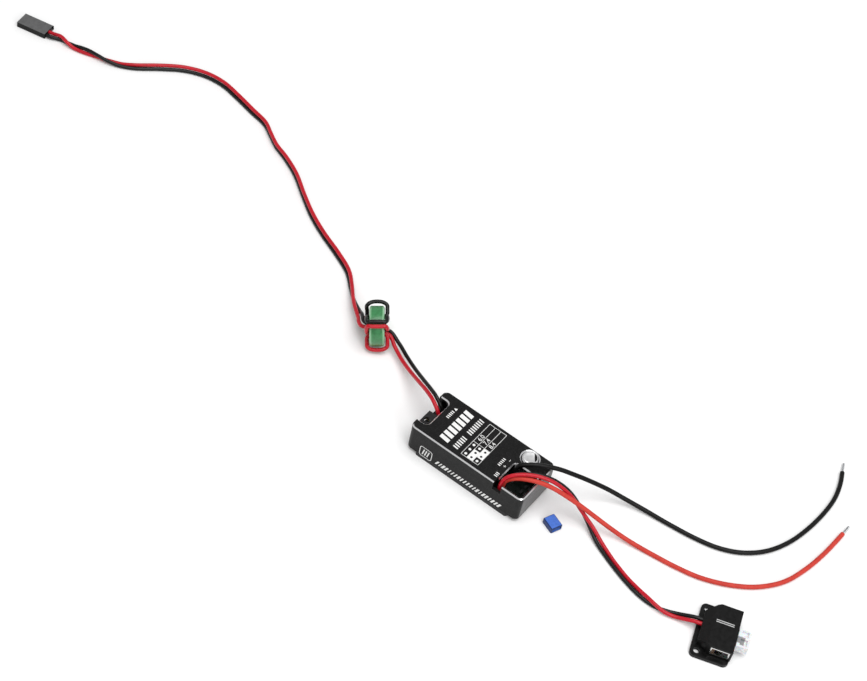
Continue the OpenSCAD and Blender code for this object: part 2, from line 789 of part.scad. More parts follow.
// The frame's near end shows in the shell's window, just inside its face
module switch_frame() {
    end = cover_span / 2 - shell - fit;
    near_end = cover_span / 2 - fit;
    color("#b9bcc0")
        in_switch()
            difference() {
                translate([frame_back, -near_end, frame_bottom])
                    cube([frame_front - frame_back, near_end + end,
                        frame_top - frame_bottom]);
                translate([frame_back + frame_wall, -near_end - small,
                        frame_bottom + frame_wall])
                    cube([frame_front - frame_back - 2 * frame_wall,
                        near_end + end + 2 * small,
                        frame_top - frame_bottom - 2 * frame_wall]);
                translate([frame_front - 1, slot_start, stem_bottom - 0.2])
                    cube([2, slot_end - slot_start, stem_top - stem_bottom + 0.4]);
                for (y = terminal_places)
                    translate([frame_back - small, y - 0.7, terminal_level - 0.4])
                        cube([2, 1.4, 0.8]);
            }
}

module switch_insulator() {
    start = frame_back + frame_wall + 0.05;
    level = frame_bottom + frame_wall + 0.05;
    color("#5a3c28")
        in_switch()
            difference() {
                translate([start, -8, level])
                    cube([1.2, 16, frame_top - frame_wall - 0.05 - level]);
                for (y = terminal_places)
                    translate([start - small, y - 0.6, terminal_level - 0.3])
                        cube([3, 1.2, 0.6]);
            }
}

module switch_terminals() {
    end = frame_back + frame_wall + 1.6;
    color("#c9a24a")
        in_switch()
            for (y = terminal_places)
                translate([terminal_start, y - 0.5, terminal_level - 0.2])
                    cube([end - terminal_start, 1, 0.4]);
}

module switch_knob() {
    inner = frame_front - frame_wall - 1.4;
    pocket = 0.9;
    color("#e8ecee")
        in_switch()
            translate([0, knob_rest, 0]) {
                difference() {
                    translate([cover_front + 0.25, -knob_width / 2, knob_bottom - 0.4])
                        cube([knob_out, knob_width, knob_top - knob_bottom + 0.6]);
                    translate([cover_front + 1.4, -knob_width / 2 + 0.8, knob_top - 0.8])
                        cube([2.6, 2.8, 2]);
                    translate([cover_front + 1.4, pocket, knob_top - 0.8])
                        cube([2.6, 2.3, 2]);
                }
                translate([inner, -knob_width / 2 + 0.3, stem_bottom])
                    cube([cover_front + 0.3 - inner, knob_width - 0.6, stem_top - stem_bottom]);
            }
}

module switch_wiper() {
    inner = frame_front - frame_wall - 1.4;
    color("#c9a24a")
        in_switch()
            translate([inner - 1.9, knob_rest - 1.6, stem_bottom + 0.2])
                cube([1.9, 3.2, stem_top - stem_bottom - 0.4]);
}

module in_jumper()
    translate(jumper_place)
        rotate(jumper_turn)
            children();

module jumper_housing() {
    cut = 0.35;
    color("#4b73d7")
        in_jumper()
            difference() {
                eased_block(jumper_length, jumper_width, 0, jumper_height, 0.5, cut);
                translate([jumper_length / 2 - jumper_depth, jumper_wall - jumper_width / 2,
                    jumper_wall])
                    cube([jumper_depth + small, jumper_width - 2 * jumper_wall,
                        jumper_height - 2 * jumper_wall - 0.1]);
            }
}

module jumper_contact() {
    depth = jumper_depth - 0.9;
    width = jumper_width - 2 * jumper_wall - 0.2;
    height = jumper_height - 2 * jumper_wall - 0.3;
    sheet = 0.25;
    color("#c9a24a")
        in_jumper()
            translate([jumper_length / 2 - jumper_depth + 0.1, -width / 2, jumper_wall + 0.1])
                difference() {
                    cube([depth, width, height]);
                    translate([sheet, -small, sheet])
                        cube([depth, width + 2 * small, height - 2 * sheet]);
                }
}

case_cover();
base_plate();
base_screws();
thermal_pad();
circuit_board();
power_inductor();
input_capacitor();
output_capacitor();
capacitor_bases();
mosfets();
control_chip();
ceramic_capacitors();
chip_resistors();
jumper_socket();
header_base();
header_pins();
solder_joints();
output_wire_red();
output_wire_black();
ferrite_ring();
plug_housing();
plug_contacts();
input_wire_red();
input_wire_black();
tinned_end_red();
tinned_end_black();
switch_wire_red();
switch_wire_black();
switch_base();
switch_cover();
switch_frame();
switch_insulator();
switch_terminals();
switch_knob();
switch_wiper();
jumper_housing();
jumper_contact();
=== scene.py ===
# %% [markdown]
# # A voltage regulator with its leads
# A small switch-mode regulator: a black anodised case, an output lead that winds through
# a green ferrite ring to a servo plug, two battery leads, a slide switch and a loose jumper.
# The engineering model is already there: it is loaded as a fixed frame, and this lesson
# gives it its looks. Nothing in the frame is moved or resized; pieces that are too plain
# are replaced by finer ones that stand in the same place.

# %% Load the frame and keep its box
import math
from functools import partial
from math import cos, radians, sin
import bpy
import bmesh
from mathutils import Matrix, Vector


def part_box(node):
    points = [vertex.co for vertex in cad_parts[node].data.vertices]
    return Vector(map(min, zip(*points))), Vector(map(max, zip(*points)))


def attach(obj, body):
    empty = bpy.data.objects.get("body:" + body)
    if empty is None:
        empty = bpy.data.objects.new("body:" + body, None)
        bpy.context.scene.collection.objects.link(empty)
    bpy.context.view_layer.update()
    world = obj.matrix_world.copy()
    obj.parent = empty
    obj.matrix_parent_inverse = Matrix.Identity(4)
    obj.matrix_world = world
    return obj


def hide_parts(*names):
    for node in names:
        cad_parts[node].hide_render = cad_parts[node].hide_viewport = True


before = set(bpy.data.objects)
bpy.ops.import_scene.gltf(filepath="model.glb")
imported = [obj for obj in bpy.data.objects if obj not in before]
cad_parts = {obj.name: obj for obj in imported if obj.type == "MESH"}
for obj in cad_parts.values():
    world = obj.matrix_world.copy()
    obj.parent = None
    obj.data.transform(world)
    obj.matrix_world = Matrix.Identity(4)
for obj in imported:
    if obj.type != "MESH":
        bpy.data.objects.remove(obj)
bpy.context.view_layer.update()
MM = 0.001

# %% [markdown]
# ## The camera
# A camera is set by where it stands, which way it looks and how it is rolled. A long lens
# from about 0.8 m keeps the leads nearly parallel, as a product picture does. The three
# axes are built from a viewing direction and a roll, so no constraint is needed.

# %% Camera
def in_scene(name, data):
    """A new object with this data, in the scene."""
    made = bpy.data.objects.new(name, data)
    bpy.context.scene.collection.objects.link(made)
    return made


camera_place = Vector((0.188, -0.4282, 0.6019))
camera_forward = Vector((-0.2983, 0.5851, -0.7541)).normalized()
camera_roll = radians(12.89)
level_right = camera_forward.cross(Vector((0, 0, 1))).normalized()
level_up = level_right.cross(camera_forward)
camera_right = cos(camera_roll) * level_right + sin(camera_roll) * level_up
camera_up = camera_right.cross(camera_forward)
camera_data = bpy.data.cameras.new("studio_camera")
camera_data.lens, camera_data.sensor_width = 83.04, 36
camera = in_scene("studio_camera", camera_data)
camera.matrix_world = Matrix.Translation(camera_place) @ Matrix(
    (camera_right, camera_up, -camera_forward)).transposed().to_4x4()
bpy.context.scene.camera = camera
print("camera right:", [round(v, 3) for v in camera_right])

# %% [markdown]
# ## The routes of the leads
# A lead is a smooth curve through a few given points, in millimetres. Two wires
# that run as a pair share one route: each point also says how far the pair is rolled, and
# the two wires lie either side of it. The turns round the ferrite ring follow a rule, so
# they are worked out in the ring's own directions and not listed.

# %% Shared directions
ring_diameter, ring_hole, ring_width = 16, 9, 6
ring_turn, ring_lean = radians(37), radians(8)
ring_centre = Vector((-67.6, 22.7,
                      ring_diameter / 2 * cos(ring_lean) + ring_width / 2 * sin(ring_lean)))
ring_axis = Vector((cos(ring_turn) * cos(ring_lean), sin(ring_turn) * cos(ring_lean),
                    sin(ring_lean)))
ring_near = Vector((sin(ring_turn), -cos(ring_turn), 0))
ring_up = ring_near.cross(ring_axis)
plug_place, plug_turn = Vector((-287, 59.6, 0)), radians(11.4)
switch_place, switch_turn = Vector((104.5, -3.7, 0)), radians(19)
output_wire, input_wire, switch_wire, pair_gap = 1.6, 1.8, 1.5, 0.1


def placed(place, turn, point):
    """A point of a piece's own space, in the frame, in millimetres."""
    return place + Matrix.Rotation(turn, 3, "Z") @ Vector(point)

# %% [markdown]
# ### The points
# A real lead has no straight stretches, so its points are close together where it bends
# and further apart where it runs. The last number of a pair's point is its roll in degrees.

# %% Points of the routes
output_lead_red = [
    (-22.4, 2.8, 6.9), (-22.4, 2.8, 9), (-23.8, 3.2, 11.4), (-27, 4.6, 13), (-32, 7.4, 12),
    (-38, 11, 9.2), (-45, 15.4, 5.6), (-52, 19.6, 3.2), (-57.5, 22.3, 3.8)]
output_lead_black = [
    (-22.4, 5.6, 6.9), (-22.4, 5.6, 9), (-24.4, 5.9, 11.6), (-27.6, 6.9, 13.4),
    (-32, 9.5, 12), (-37.6, 13, 9.4), (-44.5, 17.6, 6), (-51.5, 22.1, 3.6), (-57.8, 25, 4)]
output_tail_red = [(-72.7, 19.1, 7.4), (-75, 20.6, 6.7), (-77, 22.9, 5.8)]
output_tail_black = [(-73.4, 21.4, 8.1), (-75, 23, 7.4), (-76.6, 24.8, 6.5)]
output_run = [
    (-79.2, 26, 3.9, 15), (-82.7, 28.9, 2.2, 45), (-86.3, 32.2, 0.9, 75),
    (-90.7, 36.7, 0.1, 100),
    (-97, 42.5, 0, 110), (-106, 47, 0, 110), (-117, 51.5, 0, 105), (-127, 56.5, 0, 105),
    (-137, 63, 0, 100), (-147, 70, 0, 100), (-156, 74.5, 0, 95), (-164, 77.5, 0, 90),
    (-170, 81, 0, 90), (-176, 84.5, 0, 100), (-185, 86.5, 0, 110), (-196, 89, 0, 115),
    (-205, 90.5, 0, 120), (-214, 89.5, 0, 120), (-223, 85.5, 0, 125), (-231, 79, 0, 135),
    (-239, 71.5, 0, 155), (-244.5, 68, 0, 185), (-250, 65.7, 0, 215), (-254.5, 64.4, 0, 250),
    (-259, 63.4, 0, 290), (-263, 62.6, 0, 330), (-266.5, 62, 0, 370), (-270, 61.5, 0, 415),
    (-273.5, 61.3, 0.1, 465)]
turns_black = [(3.5, 190), (9.5, 310), (3.6, 329), (9, 390), (1.2, 300)]
turns_red = [(3.6, 149), (9.4, 130), (3.6, 92), (9, 42), (0.8, 80)]
input_route_red = [
    (15, -7, 6.9), (15, -7, 9.5), (15.4, -6.6, 12.2), (18, -5, 14.6), (22.5, -2.7, 15.8),
    (27, -0.5, 15.6), (32, 1.7, 14.2), (37, 3.6, 12), (42, 5.3, 9.7), (48, 7, 6.9),
    (55, 8.7, 4), (62.5, 10.3, 1.8), (72, 11.8, 0.9), (82, 13.2, 0.9), (92, 15.6, 0.9),
    (102, 20.4, 0.9), (110.5, 27, 0.9), (117, 36, 0.9), (120.5, 47, 0.9), (122.3, 58, 0.9),
    (123, 67, 0.9), (123.2, 71, 0.9)]
input_route_black = [
    (15, -0.2, 6.9), (15, -0.2, 9.5), (15.1, 0, 12.6), (16.3, 1, 15.2), (19.2, 3, 16.4),
    (23.2, 5.8, 16.6), (28.4, 9.8, 15.2), (33, 13.3, 12.8), (38, 17, 10), (45, 21.5, 6.2),
    (52, 24.5, 3.3), (60, 26.7, 1.5), (70, 28, 0.9), (80, 29.3, 0.9), (90, 31.8, 0.9),
    (98, 36.2, 0.9), (104.5, 43, 0.9), (109, 52, 0.9), (111.5, 62, 0.9), (112.8, 74, 0.9),
    (112.5, 84, 0.9), (110.6, 92, 0.9), (108.6, 97, 0.9)]
switch_lead_red = [
    (14.8, -9, 6.9), (14.8, -9, 9.5), (14.8, -8.6, 12.6), (15.8, -7, 15.3), (19, -4.1, 17),
    (24.3, -0.5, 17.5), (29.5, 2.4, 16.2), (34.5, 4.6, 13.3), (38.7, 5.8, 10),
    (42.4, 5.9, 7.1)]
switch_lead_black = [
    (15, -5, 6.9), (15, -5, 9.5), (15.4, -4.6, 12.2), (17.5, -3, 14.8), (20, -1.6, 15.9),
    (24.3, 1.3, 16.5), (29.5, 4.3, 15), (34.8, 6.6, 11.8), (38.9, 7.5, 8.3),
    (42.6, 7.1, 5.3)]
switch_run = [
    (46.5, 5.6, 2.6, 100), (49.2, 4.6, 1.7, 75), (52, 3.4, 1, 50), (55, 2.1, 0.4, 28),
    (58.5, 0.7, 0.1, 12), (63.5, -1.3, 0, 0), (70.5, -3.8, 0, 0), (77, -5.6, 0, 20),
    (82, -6.6, 0, 60), (86, -6.9, 0, 100), (90, -6.2, 0, 150), (94, -4.9, 0.6, 180)]

# %% [markdown]
# ### Turns and pairs
# A turn goes through the hole, round the rim and back, so it is drawn in the ring's own
# directions. A pair is one route with two wires beside it, which saves a second list.

# %% Turns round the ring, and pairs
def ring_point(along, radius, angle):
    """A point of the ring's own space: along its axis, out from it and round it."""
    turned = radians(angle)
    return (ring_centre + along * ring_axis
            + radius * (sin(turned) * ring_near + cos(turned) * ring_up))


def turn_side(hole, rim, side):
    """One side of a turn, from the hole out to the rim. A turn that stands off the rim
    arches over it, and a tight one lies flat across it."""
    half = ring_width / 2
    slack = rim[0] - ring_diameter / 2 - 1
    between = lambda share: hole[1] + (rim[1] - hole[1]) * share
    return [ring_point(side * (half - 0.3), *hole),
            ring_point(side * (half + 0.9), hole[0] + 0.9, between(0.3)),
            ring_point(side * (half + 1.05), 6.7, between(0.75)),
            ring_point(side * (half + 0.55 + 0.7 * slack), rim[0] - 0.35 - 1.9 * slack,
                       rim[1]),
            ring_point(side * (half - 1.4 + slack), rim[0] - 0.2 * slack, rim[1])]


def ring_turns(turns):
    """Two whole turns: in at the near face, round the rim, back through the hole."""
    half = ring_width / 2
    route = [ring_point(half + 1.5, *turns[0])]
    for k in (0, 2):
        route += turn_side(turns[k], turns[k + 1], -1)
        route += reversed(turn_side(turns[k + 2], turns[k + 1], 1))
    return route + [ring_point(0.3 - half, *turns[4]), ring_point(-half - 1.2, *turns[4])]


def pair_wire(run, wire, side):
    """One wire of a pair that lies on the table; side is 1 or -1."""
    route = []
    for k, (x, y, low, roll) in enumerate(run):
        last, after = run[max(k - 1, 0)], run[min(k + 1, len(run) - 1)]
        ahead = Vector((after[0] - last[0], after[1] - last[1])).normalized()
        half, turned = (wire + pair_gap) / 2, radians(roll)
        route.append((x - side * half * cos(turned) * ahead.y,
                      y + side * half * cos(turned) * ahead.x,
                      low + wire / 2 + half * (abs(sin(turned)) + side * sin(turned))))
    return route


def plug_end(y):
    return [placed(plug_place, plug_turn, (x, y, 1.3)) for x in (9, 7, 4)]


def switch_end(y):
    return [placed(switch_place, switch_turn, (x, y, 3.4)) for x in (-3.3, -0.8, 1.2)]

# %% [markdown]
# ## A smooth line through the points
# A Catmull-Rom spline passes through every point it is given. The centripetal kind spaces
# its steps by the square root of each gap, so it doesn't overshoot where points crowd
# together, as they do round the ring. Each wire keeps its middle at least its own radius
# above the table.

# %% Smoothing
def smooth_route(points, wire, steps=8):
    points = [Vector(p) for p in points]
    padded = [2 * points[0] - points[1], *points, 2 * points[-1] - points[-2]]
    line = []
    for a, b, c, d in zip(padded, padded[1:], padded[2:], padded[3:]):
        times = [0]
        for p, q in ((a, b), (b, c), (c, d)):
            times.append(times[-1] + (q - p).length ** 0.5)
        for k in range(steps):
            t = times[1] + (times[2] - times[1]) * k / steps
            mix = lambda p, q, s, e: p.lerp(q, (t - s) / (e - s))
            first, middle, third = (mix(a, b, times[0], times[1]),
                                    mix(b, c, times[1], times[2]),
                                    mix(c, d, times[2], times[3]))
            line.append(mix(mix(first, middle, times[0], times[2]),
                            mix(middle, third, times[1], times[3]), times[1], times[2]))
    line.append(points[-1])
    low = wire / 2
    return [Vector((p.x, p.y, max(p.z, low))) * MM for p in line]


wires = {
    "output_wire_red": (output_wire, output_lead_red + ring_turns(turns_red)
                        + output_tail_red + pair_wire(output_run, output_wire, 1)
                        + plug_end(0)),
    "output_wire_black": (output_wire, output_lead_black + ring_turns(turns_black)
                          + output_tail_black + pair_wire(output_run, output_wire, -1)
                          + plug_end(-2.54)),
    "input_wire_red": (input_wire, input_route_red),
    "input_wire_black": (input_wire, input_route_black),
    "switch_wire_red": (switch_wire, switch_lead_red
                        + pair_wire(switch_run, switch_wire, 1) + switch_end(1)),
    "switch_wire_black": (switch_wire, switch_lead_black
                          + pair_wire(switch_run, switch_wire, -1) + switch_end(2.9)),
}
routes = {name: smooth_route(points, wire) for name, (wire, points) in wires.items()}
lengths = {name: sum((q - p).length for p, q in zip(line, line[1:]))
           for name, line in routes.items()}
for name, length in lengths.items():
    print(name, "length", round(length * 1000, 1), "mm")

# %% [markdown]
# ## Material helpers
# Every finish here starts from the same idea: one noise pattern makes the colour and the
# roughness a little uneven, and a finer one gives the surface its grain through a Bump
# node. The patterns read Object coordinates, in metres, so a grain of 0.2 mm is a noise
# scale of 5000. What is the same all over is set on the shader's own socket.

# %% Node helpers
def link(tree, source, target):
    tree.links.new(source, target)


def node(tree, kind, inputs=None, **settings):
    """Adds a node; an input's value is a number, a colour or another node's socket."""
    made = tree.nodes.new(kind)
    for key, value in settings.items():
        setattr(made, key, value)
    for key, value in (inputs or {}).items():
        if isinstance(value, bpy.types.NodeSocket):
            link(tree, value, made.inputs[key])
        else:
            made.inputs[key].default_value = value
    return made


def maths(tree, operation, *values):
    """What a Math node makes of its values."""
    return node(tree, "ShaderNodeMath", dict(enumerate(values)),
                operation=operation).outputs["Value"]


def vector_of(tree, **parts):
    """A vector from the parts given; the others stay 0."""
    return node(tree, "ShaderNodeCombineXYZ", parts).outputs["Vector"]


def axis_of(tree, vector, axis):
    """One of a vector's three parts."""
    return node(tree, "ShaderNodeSeparateXYZ", {"Vector": vector}).outputs[axis]


def object_spot(tree):
    return node(tree, "ShaderNodeTexCoord").outputs["Object"]


def face_normal(tree):
    return node(tree, "ShaderNodeNewGeometry").outputs["True Normal"]


def stored_value(tree, label):
    """A number that was stored on each point of the mesh."""
    return node(tree, "ShaderNodeAttribute", attribute_name=label).outputs["Fac"]


def colour(r, g, b):
    return (r, g, b, 1)


def noise(tree, size_mm, detail=3, stretch=(1, 1, 1), source=None):
    """A noise whose bumps are about size_mm across."""
    mapping = node(tree, "ShaderNodeMapping", {"Vector": source or object_spot(tree),
                                               "Scale": stretch})
    return node(tree, "ShaderNodeTexNoise", {
        "Vector": mapping.outputs["Vector"], "Scale": 1 / (size_mm * MM),
        "Detail": detail, "Roughness": 0.6}).outputs["Fac"]


def ramp(tree, factor, stops):
    """A colour ramp from (place, colour) stops."""
    made = node(tree, "ShaderNodeValToRGB", {"Fac": factor})
    elements = made.color_ramp.elements
    while len(elements) < len(stops):
        elements.new(0.5)
    for element, (place, shade) in zip(elements, stops):
        element.position = place
        element.color = colour(*shade)
    return made.outputs["Color"]


def tones(tree, factor, dark, light, start=0.3, end=0.7):
    """Two colours across a pattern's middle range."""
    return ramp(tree, factor, [(start, dark), (end, light)])


def span(tree, factor, low, high, start=0.3, end=0.7):
    """Maps a pattern's middle range onto low to high."""
    return node(tree, "ShaderNodeMapRange", {
        "Value": factor, "From Min": start, "From Max": end,
        "To Min": low, "To Max": high}).outputs["Result"]


def blend_of(tree, factor, first, second):
    """The first colour where the factor is 0 and the second where it is 1."""
    return node(tree, "ShaderNodeMix", {0: factor, 6: first, 7: second},
                data_type="RGBA").outputs[2]


def new_finish(name, **sockets):
    """An empty material with its shader's fixed values set on the shader's sockets."""
    made = bpy.data.materials.new(name)
    made.use_nodes = True
    tree = made.node_tree
    tree.nodes.clear()
    shader = node(tree, "ShaderNodeBsdfPrincipled")
    node(tree, "ShaderNodeOutputMaterial", {"Surface": shader.outputs["BSDF"]})
    for key, value in sockets.items():
        shader.inputs[key.replace("_", " ")].default_value = value
    return made, tree, shader


def paint(tree, shader, base, gloss, height, depth_mm, strength=1):
    """Gives a shader its colour, its roughness and bumps of a depth."""
    bump = node(tree, "ShaderNodeBump", {"Height": height, "Distance": depth_mm * MM,
                                         "Strength": strength})
    for source, target in ((base, "Base Color"), (gloss, "Roughness"),
                           (bump.outputs["Normal"], "Normal")):
        link(tree, source, shader.inputs[target])


def grained(name, dark, light, patch_mm, grain_mm, depth_mm, rough, **sockets):
    """A finish with uneven colour, uneven gloss and a fine grain."""
    made, tree, shader = new_finish(name, **sockets)
    patches = noise(tree, patch_mm)
    paint(tree, shader, tones(tree, patches, dark, light), span(tree, patches, *rough),
          noise(tree, grain_mm, 2), depth_mm)
    return made


def coat_node(name, finish):
    """Gives a node of the frame its finish, in the node's own slots."""
    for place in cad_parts[name].material_slots:
        place.material = finish

# %% [markdown]
# ## The wires
# Each wire is a soft plastic sleeve of constant diameter. Geometry Nodes sweep a round
# profile along the route and store how far along and how far round each point is, so the
# extrusion streaks can follow the wire. The swept mesh is then made plain.

# %% A node tree that sleeves a line
def group_with(name, inputs):
    """An empty node group with a geometry input, named inputs and a geometry output."""
    tree = bpy.data.node_groups.new(name, "GeometryNodeTree")
    tree.interface.new_socket("Geometry", in_out="INPUT", socket_type="NodeSocketGeometry")
    for label, kind in inputs:
        tree.interface.new_socket(label, in_out="INPUT", socket_type=f"NodeSocket{kind}")
    tree.interface.new_socket("Geometry", in_out="OUTPUT",
                              socket_type="NodeSocketGeometry")
    return tree, node(tree, "NodeGroupInput"), node(tree, "NodeGroupOutput")


def finish_group(tree, geometry, start, end):
    """Ends a tree as the export needs it: instances made real, and the finish set."""
    real = node(tree, "GeometryNodeRealizeInstances", {"Geometry": geometry})
    painted = node(tree, "GeometryNodeSetMaterial", {
        "Geometry": real.outputs["Geometry"], "Material": start.outputs["Finish"]})
    link(tree, painted.outputs["Geometry"], end.inputs["Geometry"])


def as_mesh(source, name):
    """Replaces an object with the plain mesh it evaluates to, at the origin."""
    evaluated = source.evaluated_get(bpy.context.evaluated_depsgraph_get())
    mesh = bpy.data.meshes.new_from_object(evaluated)
    mesh.name = name
    bpy.data.objects.remove(source)
    return in_scene(name, mesh)


def plain_mesh(source, tree, values, name):
    """Runs a tree on an object and keeps the result as a plain mesh."""
    modifier = source.modifiers.new("shape", "NODES")
    modifier.node_group = tree
    sockets = {item.name: item.identifier for item in tree.interface.items_tree
               if item.in_out == "INPUT"}
    for label, value in values.items():
        modifier[sockets[label]] = value
    return as_mesh(source, name)


def line_object(points=(Vector(), Vector((0, 0, MM)))):
    """A curve object of one open line. A tree that makes its own line gets a short one."""
    curve = bpy.data.curves.new("line", "CURVE")
    curve.dimensions = "3D"
    spline = curve.splines.new("POLY")
    spline.points.add(len(points) - 1)
    for place, point in zip(spline.points, points):
        place.co = (*point, 1)
    return in_scene("line", curve)


sleeve_tree, start, end = group_with("wire_sleeve", [
    ("Radius", "Float"), ("Sides", "Int"), ("Finish", "Material")])
add = partial(node, sleeve_tree)
progress = add("GeometryNodeSplineParameter")
circle = add("GeometryNodeCurvePrimitiveCircle", {
    "Radius": start.outputs["Radius"], "Resolution": start.outputs["Sides"]})
noted = {}
for label, curve, measure in (("along", start.outputs["Geometry"], "Length"),
                              ("around", circle.outputs["Curve"], "Factor")):
    noted[label] = add("GeometryNodeCaptureAttribute", {"Geometry": curve}, domain="POINT")
    noted[label].capture_items.new("FLOAT", label)
    link(sleeve_tree, progress.outputs[measure], noted[label].inputs[label])
swept = add("GeometryNodeCurveToMesh", {
    "Curve": noted["along"].outputs["Geometry"],
    "Profile Curve": noted["around"].outputs["Geometry"],
    "Fill Caps": True}).outputs["Mesh"]
for label, note in noted.items():
    swept = add("GeometryNodeStoreNamedAttribute", {
        "Geometry": swept, "Name": label, "Value": note.outputs[label]},
        data_type="FLOAT", domain="POINT").outputs["Geometry"]
smooth = add("GeometryNodeSetShadeSmooth", {"Geometry": swept})
finish_group(sleeve_tree, smooth.outputs["Geometry"], start, end)

# %% [markdown]
# ### The sleeves' plastic
# The thin output and switch leads are glossy crimson and black plastic with a faint draw
# streak along them; the battery leads are duller silicone, and the red one leans to
# orange. The streak is a noise read from the stored distances: long along the wire and
# short round it.

# %% Sleeve finishes
def sleeve_finish(name, deep, bright, rough, streak_depth_mm, **sockets):
    made, tree, shader = new_finish(name, **sockets)
    girth = 0.005  # about once round a sleeve, in metres
    around = maths(tree, "MULTIPLY", stored_value(tree, "around"), girth)
    spot = vector_of(tree, X=stored_value(tree, "along"), Y=around)
    streaks = noise(tree, 0.35, 3, (0.06, 1, 1), spot)
    paint(tree, shader, tones(tree, noise(tree, 2.5), deep, bright, 0.25, 0.75),
          span(tree, streaks, *rough), streaks, streak_depth_mm, 0.6)
    return made


sleeves = {
    # name: deep, bright, roughness range, streak depth mm, slot, fixed values
    "crimson_sleeve": ((0.4, 0.003, 0.012), (0.54, 0.006, 0.02), (0.26, 0.42), 0.02,
                       "wire_crimson", {"IOR": 1.5, "Specular_IOR_Level": 0.3,
                                        "Coat_Weight": 0.1, "Coat_Roughness": 0.15}),
    "black_sleeve": ((0.002, 0.002, 0.002), (0.006, 0.006, 0.006), (0.24, 0.38), 0.02,
                     "wire_black", {"IOR": 1.5, "Specular_IOR_Level": 0.3}),
    "silicone_red": ((0.47, 0.032, 0.022), (0.6, 0.055, 0.038), (0.42, 0.6), 0.03,
                     "wire_orange_red", {"IOR": 1.43, "Specular_IOR_Level": 0.3}),
    "silicone_black": ((0.002, 0.002, 0.002), (0.007, 0.007, 0.007), (0.36, 0.5), 0.03,
                       "wire_black", {"IOR": 1.43, "Specular_IOR_Level": 0.25}),
}
finishes = {name: sleeve_finish(name, *values, **fixed)
            for name, (*values, _, fixed) in sleeves.items()}
sleeve_of = {
    "output_wire_red": "crimson_sleeve", "output_wire_black": "black_sleeve",
    "switch_wire_red": "crimson_sleeve", "switch_wire_black": "black_sleeve",
    "input_wire_red": "silicone_red", "input_wire_black": "silicone_black"}

# %% [markdown]
# ### The six leads
# The same tree makes every lead: only its route, radius and finish differ. The flat caps
# have more than four corners, so they are told from the round sides and stay flat shaded.

# %% Make the six wires
cords, sleeve_sides = {}, 20
for name, (wire, _) in wires.items():
    cord = plain_mesh(line_object(routes[name]), sleeve_tree, {
        "Radius": wire / 2 * MM, "Sides": sleeve_sides,
        "Finish": finishes[sleeve_of[name]]}, name.replace("wire", "sleeve"))
    for face in cord.data.polygons:
        face.use_smooth = len(face.vertices) == 4
    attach(cord, "root")
    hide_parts(name)
    cords[name] = cord
    print(cord.name, len(cord.data.polygons), "faces")

# %% [markdown]
# ### Tinned ends
# The battery leads end bare: a short bundle of copper strands, twisted and dipped in
# solder. Six strands wind round a seventh. One spiral is swept and instanced six times,
# each turned a sixth of a turn, which is what instancing is for.

# %% Twisted strands
strand_tree, start, end = group_with("twisted_strands", [
    ("Strand radius", "Float"), ("Bundle length", "Float"), ("Turns", "Float"),
    ("Finish", "Material")])
add = partial(node, strand_tree)
strands_round, lay = 6, 1.9
strand_radius, bundle_length = start.outputs["Strand radius"], start.outputs["Bundle length"]
profile = add("GeometryNodeCurvePrimitiveCircle",
              {"Radius": strand_radius, "Resolution": 10}).outputs["Curve"]
lay_radius = maths(strand_tree, "MULTIPLY", strand_radius, lay)
spiral = add("GeometryNodeCurveSpiral", {
    "Resolution": 40, "Rotations": start.outputs["Turns"], "Start Radius": lay_radius,
    "End Radius": lay_radius, "Height": bundle_length})
core_line = add("GeometryNodeCurvePrimitiveLine",
                {"End": vector_of(strand_tree, Z=bundle_length)})
strand, core = [add("GeometryNodeCurveToMesh", {
    "Curve": middle_line.outputs["Curve"], "Profile Curve": profile,
    "Fill Caps": True}).outputs["Mesh"] for middle_line in (spiral, core_line)]
places = add("GeometryNodePoints", {"Count": strands_round})
index = add("GeometryNodeInputIndex").outputs["Index"]
angle = maths(strand_tree, "MULTIPLY", index, math.tau / strands_round)
around_core = add("GeometryNodeInstanceOnPoints", {
    "Points": places.outputs["Points"], "Instance": strand,
    "Rotation": vector_of(strand_tree, Z=angle)})
bundle = add("GeometryNodeJoinGeometry")
for strands in (around_core.outputs["Instances"], core):
    link(strand_tree, strands, bundle.inputs["Geometry"])
finish_group(strand_tree, bundle.outputs["Geometry"], start, end)

finishes["solder"] = grained("solder", (0.55, 0.56, 0.58), (0.78, 0.79, 0.8), 0.6, 0.12,
                             0.01, (0.22, 0.4), Metallic=1)
tinned_length, strand_size = 4.5, 0.18
for shade in ("red", "black"):
    before, last = [Vector(p) for p in wires[f"input_wire_{shade}"][1][-2:]]
    ahead = last - before
    ends = plain_mesh(line_object(), strand_tree, {
        "Strand radius": strand_size * MM, "Bundle length": tinned_length * MM,
        "Turns": 0.6, "Finish": finishes["solder"]}, f"strands_{shade}")
    heading = math.atan2(ahead.y, ahead.x)

    ends.data.transform(Matrix.Translation(last * MM) @ Matrix.Rotation(heading, 4, "Z")
                        @ Matrix.Rotation(radians(90), 4, "Y"))
    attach(ends, "root")
    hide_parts(f"tinned_end_{shade}")
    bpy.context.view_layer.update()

# %% [markdown]
# ## The ferrite ring
# A ferrite ring is pressed powder with a thick coat of green epoxy. It
# is a rounded rectangle swept round a circle. A point attribute marks the rounded edges,
# so the finish can pale there: a painted highlight where the edges catch the light.

